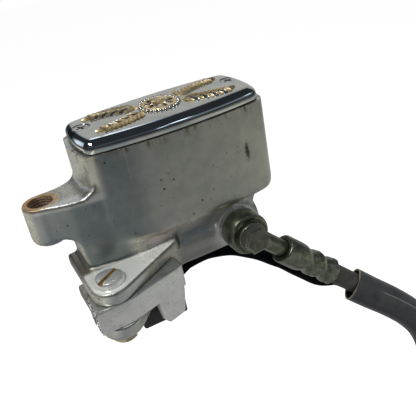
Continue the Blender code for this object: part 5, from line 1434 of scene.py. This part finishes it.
def pivotFinish():
    # Chrome with a brushed top, whose slot is down to dirty brass.
    finish, tree, shader, place = metalFinish("pivotChrome", (0.66, 0.66, 0.65), (0.80, 0.80, 0.79), 0.3,
                                              stretch=(0.3, 1, 1), depth=0.012 * mm, metallic=0.78)
    turn = addNode(tree, "Mapping", {"Vector": place, "Rotation": (0, 0, -body["boltSlotTurn"])}).outputs[0]
    pivot = Matrix.Rotation(-body["boltSlotTurn"], 3, "Z") @ Vector((*body["pivot"], 0))
    y, z = split(tree, turn)[1:]
    slot = times(tree, ramp(tree, offFrom(tree, y, pivot.y), 1.3 * mm, 1.15 * mm),
                 ramp(tree, z, 12.18 * mm, 12.05 * mm))
    slot = times(tree, slot, ramp(tree, z, 10.9 * mm, 11.1 * mm))
    plain = colourSoFar(shader)
    brass = colourRamp(tree, noise(tree, place, 1300, 3.0), [
        (0.35, (0.30, 0.21, 0.07)), (0.65, (0.58, 0.43, 0.18)),
    ])
    plug(tree, blendColour(tree, slot, plain, brass), shader, "Base Color")
    return finish


def hexFinish():
    # Dark on its face and paler on the flats, partly as spanner wear and partly as painted light.
    finish, tree, shader = metalFinish(
        "oliveHex", (0.075, 0.08, 0.058), (0.135, 0.14, 0.11), 0.3, grainScale=1300, cloudScale=260,
        wear=(0.58, 0.57, 0.50), dirtAndShade=(0.06, 0.06, 0.04), metallic=0.9)[:3]
    facing = split(tree, addNode(tree, "TexCoord").outputs["Normal"])[1]
    side = times(tree, ramp(tree, facing, -0.85, -0.5), 0.85)
    plain = colourSoFar(shader)
    plug(tree, blendColour(tree, side, plain, (0.27, 0.28, 0.235)), shader, "Base Color")
    return finish


def leverFinish():
    finish, tree, shader, place = metalFinish(
        "leverAluminium", (0.69, 0.70, 0.66), (0.80, 0.81, 0.77), 0.42, grainScale=1500,
        wear=(0.86, 0.86, 0.83), dirtAndShade=(0.16, 0.15, 0.13))
    plain = colourSoFar(shader)
    marks = specks(tree, place, 420, 0.17, 0.35, stretch=(0.35, 1, 1))
    scuffs = ramp(tree, noise(tree, place, 420, 5.0, stretch=(0.25, 1, 1.6), rough=0.75), 0.60, 0.68)
    plain = tinted(tree, plain, most(tree, marks, scuffs), 0.55, (0.26, 0.25, 0.22))
    broken = ramp(tree, split(tree, place)[0], -44.2 * mm, -45.0 * mm)
    glitter = colourRamp(tree, noise(tree, place, 1600, 2.0), [(0.42, (0.18, 0.18, 0.18)), (0.58, (0.9, 0.9, 0.9))])
    plug(tree, blendColour(tree, broken, plain, glitter), shader, "Base Color")
    return finish


def softFinish(name, dark, light, roughness, grainScale=1500, depth=0.02 * mm, dust=None, shine=0.4):
    # Rubber, vinyl or moulded plastic with a fine skin and a little dust.
    finish, tree, shader, coords = newFinish(name, Specular_IOR_Level=shine)
    place = coords.outputs["Object"]
    clouds = noise(tree, place, 150, 4.0, rough=0.6)
    grain = noise(tree, place, grainScale, 3.0)
    colour = colourRamp(tree, clouds, [(0.3, dark), (0.7, light)])
    if dust:
        colour = tinted(tree, colour, ramp(tree, noise(tree, place, 60, 5.0), 0.52, 0.8), 0.5, dust)
    plug(tree, colour, shader, "Base Color")
    plug(tree, scaled(tree, clouds, 0.18, roughness - 0.09), shader, "Roughness")
    bump(tree, shader, grain, depth, 0.6)
    return finish, tree, shader, coords


def hoseFinish():
    # Fine ribs run lengthwise round the rubber.
    finish, tree, shader, coords = softFinish("hoseRubber", (0.012, 0.012, 0.012), (0.026, 0.026, 0.024), 0.5,
                                              dust=(0.08, 0.076, 0.068), shine=0.25)
    around = split(tree, coords.outputs["UV"])[0]
    rib = math2(tree, "SINE", times(tree, around, math.tau * 36))
    crest = ramp(tree, rib, -0.2, 0.9)
    plain = colourSoFar(shader)
    worn = tinted(tree, plain, crest, 0.6, (0.10, 0.097, 0.088))
    plug(tree, worn, shader, "Base Color")
    old = shader.inputs["Normal"].links[0].from_node
    tree.links.new(math2(tree, "ADD", old.inputs["Height"].links[0].from_socket, times(tree, rib, 2.5)),
                   old.inputs["Height"])
    old.inputs["Distance"].default_value = 0.04 * mm
    return finish


def sleeveFinish():
    # Blue-black vinyl with a yellowed cut edge and a pale seam along its upper side.
    finish, tree, shader, coords = softFinish("sleeveVinyl", (0.018, 0.020, 0.023), (0.031, 0.034, 0.039), 0.42,
                                              grainScale=700, depth=0.03 * mm, dust=(0.06, 0.056, 0.048),
                                              shine=0.25)
    around, along = split(tree, coords.outputs["UV"])[:2]
    depth = addNode(tree, "VectorMath", {0: coords.outputs["Object"], 1: sleeve["mouthWay"]},
                    operation="DOT_PRODUCT")
    edge = Vector(sleeve["mouth"]).dot(Vector(sleeve["mouthWay"]))
    rim = ramp(tree, depth.outputs["Value"], edge + 0.8 * mm, edge + 0.3 * mm)
    plain = colourSoFar(shader)
    plain = tinted(tree, plain, rim, 0.8, (0.20, 0.17, 0.12))
    seam = ramp(tree, offFrom(tree, around, sleeve["seam"]), 0.008, 0.003)
    seam = times(tree, seam, ramp(tree, along, 18 * mm, 26 * mm))
    plug(tree, tinted(tree, plain, seam, 0.7, (0.16, 0.15, 0.13)), shader, "Base Color")
    return finish


def glassFinish():
    finish, tree, shader, coords = newFinish("sightPlastic", Transmission_Weight=0.92, IOR=1.49)
    place = coords.outputs["Object"]
    haze = noise(tree, place, 260, 4.0)
    colour = colourRamp(tree, haze, [(0.35, (0.86, 0.82, 0.70)), (0.7, (0.95, 0.94, 0.88))])
    plug(tree, colour, shader, "Base Color")
    plug(tree, ramp(tree, haze, 0.3, 0.8, 0.04, 0.22), shader, "Roughness")
    bump(tree, shader, noise(tree, place, 1200, 2.0), 0.01 * mm, 0.4)
    return finish


castAluminium = castFinish()
coverChrome = coverFinish()
pivotChrome = pivotFinish()
leverAluminium = leverFinish()
hoseRubber = hoseFinish()
sleeveVinyl = sleeveFinish()
sightPlastic = glassFinish()
capAluminium = metalFinish("capAluminium", (0.36, 0.35, 0.32), (0.52, 0.51, 0.47), 0.45, grainScale=1000,
                           depth=0.07 * mm, wear=(0.7, 0.69, 0.66), dirtAndShade=(0.12, 0.11, 0.09))[0]
plainSteel = metalFinish("plainSteel", (0.36, 0.355, 0.34), (0.54, 0.53, 0.51), 0.32, stretch=(0.3, 1, 1),
                         dirtAndShade=(0.08, 0.06, 0.04))[0]
springSteel = metalFinish("springSteel", (0.30, 0.29, 0.27), (0.48, 0.47, 0.45), 0.34, dirtAndShade=(0.1, 0.08, 0.05))[0]
goldPlate = metalFinish("goldPlate", (0.66, 0.50, 0.25), (0.88, 0.70, 0.40), 0.44, grainScale=1800,
                        cloudScale=260, wear=(0.86, 0.72, 0.45), dirtAndShade=(0.10, 0.075, 0.04))[0]
brightPlate = metalFinish("brightPlate", (0.50, 0.50, 0.49), (0.70, 0.70, 0.69), 0.2, cloudScale=260,
                          dirtAndShade=(0.10, 0.09, 0.08))[0]
oliveSteel = metalFinish("oliveSteel", (0.105, 0.117, 0.084), (0.20, 0.215, 0.16), 0.31, grainScale=1300,
                         cloudScale=230, wear=(0.36, 0.37, 0.31), dirtAndShade=(0.05, 0.05, 0.035), metallic=0.9)[0]
oliveHex = hexFinish()
yellowZinc = metalFinish("yellowZinc", (0.36, 0.31, 0.20), (0.56, 0.50, 0.36), 0.4, cloudScale=300,
                         wear=(0.68, 0.64, 0.52), dirtAndShade=(0.10, 0.08, 0.05))[0]
dullCopper = metalFinish("dullCopper", (0.075, 0.078, 0.056), (0.13, 0.13, 0.095), 0.4, cloudScale=400,
                         dirtAndShade=(0.06, 0.05, 0.04))[0]
softRubber = softFinish("softRubber", (0.012, 0.012, 0.012), (0.03, 0.03, 0.029), 0.55)[0]
leadVinyl = softFinish("leadVinyl", (0.002, 0.002, 0.003), (0.006, 0.007, 0.008), 0.3, grainScale=500,
                       depth=0.05 * mm, shine=0.01)[0]
mouldedBlack = softFinish("mouldedBlack", (0.010, 0.010, 0.011), (0.024, 0.024, 0.025), 0.45, grainScale=2600,
                          depth=0.03 * mm, dust=(0.05, 0.047, 0.042))[0]
mouldedWhite = softFinish("mouldedWhite", (0.66, 0.63, 0.56), (0.80, 0.78, 0.72), 0.42)[0]
print("finishes mixed")


# Assembly

def dressNode(node, finish):
    # A CAD node whose shape is right only takes a finish.
    piece = bpy.data.objects[node]
    for index in range(len(piece.material_slots)):
        piece.material_slots[index].material = finish


finishPiece(makeBody(), "cylinder", "cast_aluminium", castAluminium, "master_cylinder_body")
finishPiece(makeClampCap(), "cylinder", "cast_aluminium", capAluminium, "clamp_cap")
for boltName, node, side in (("clampBoltUpper", "clamp_bolt_upper", 1), ("clampBoltLower", "clamp_bolt_lower", -1)):
    finishPiece(makeClampBolt(boltName, side), "cylinder", "steel", plainSteel, node)
print("body cast and machined")

finishPiece(makeCover(), "cylinder", "chrome", coverChrome, "reservoir_cover")
for screwName, node, place in zip(("coverScrewLeft", "coverScrewRight"), ("cover_screw_left", "cover_screw_right"),
                                  screwPlaces):
    finishPiece(makeCoverScrew(screwName, *place), "cylinder", "steel", plainSteel, node)
goldPart, brightPart = makeOrnament()
finishPiece(goldPart, "cylinder", "gold", goldPlate, "cover_badge")
finishPiece(brightPart, "cylinder", "chrome", brightPlate)
finishPiece(makeSightGlass(), "cylinder", "clear_plastic", sightPlastic, "sight_glass")
print("cover and ornament set")

finishPiece(makeLeverStub(), "lever", "lever_aluminium", leverAluminium, "brake_lever_stub")
finishPiece(makePivotBolt(), "cylinder", "chrome", pivotChrome, "pivot_bolt")
finishPiece(makePivotNut(), "cylinder", "zinc", yellowZinc, "pivot_nut")
finishPiece(makeSwitch(), "cylinder", "black_plastic", mouldedBlack, "brake_light_switch")
print("lever and switch hung")

boot = finishPiece(makeDustBoot(), "cylinder", "black_rubber", softRubber, "dust_boot")
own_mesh(boot)
spring = finishPiece(makeSpring(), "cylinder", "spring_steel", springSteel, "return_spring")
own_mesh(spring)

wayOut = Vector(banjo["hoseWay"])
nearEye, farEye = Vector(banjo["eye"]), Vector(banjo["farEye"])
finishPiece(makeBanjoEye("banjoFitting", nearEye, back, wayOut), "cylinder", "anodised", oliveSteel,
            "banjo_fitting")
finishPiece(makeFerrule("crimpFerrule", nearEye + wayOut * banjo["ferruleStart"], wayOut), "cylinder", "anodised",
            oliveSteel, "crimp_ferrule")
finishPiece(makeBanjoBolt(), "cylinder", "anodised", oliveHex, "banjo_bolt")
farFitting = finishPiece(makeBanjoEye("farBanjoFitting", farEye, back, up), "cylinder", "anodised", oliveSteel,
                         "far_banjo_fitting")
farFerrule = finishPiece(makeFerrule("farFerrule", farEye + up * banjo["ferruleStart"], up), "cylinder", "anodised",
                         oliveSteel, "far_ferrule")
connector = finishPiece(makeConnector(), "cylinder", "black_plastic", mouldedBlack, "lead_connector")
print("fittings crimped")

finishPiece(brakeHose, "cylinder", "black_rubber", hoseRubber, "brake_hose", "hose_coil", "hose_tail")
finishPiece(hoseSleeve, "cylinder", "black_vinyl", sleeveVinyl, "hose_sleeve")
finishPiece(switchLead, "cylinder", "black_vinyl", leadVinyl, "switch_lead")
finishPiece(leadJacket, "cylinder", "black_vinyl", leadVinyl)

for node, finish in {
    "diaphragm": softRubber, "sight_glass_seal": softRubber, "primary_cup": softRubber, "secondary_cup": softRubber,
    "diaphragm_plate": mouldedWhite, "switch_plunger": mouldedWhite, "port_protector": springSteel,
    "snap_ring": springSteel, "piston": plainSteel, "piston_washer": plainSteel, "switch_screw": yellowZinc,
    "crush_washer_inner": dullCopper, "crush_washer_outer": dullCopper, "coil_tie": mouldedBlack,
}.items():
    dressNode(node, finish)
print("all pieces finished")
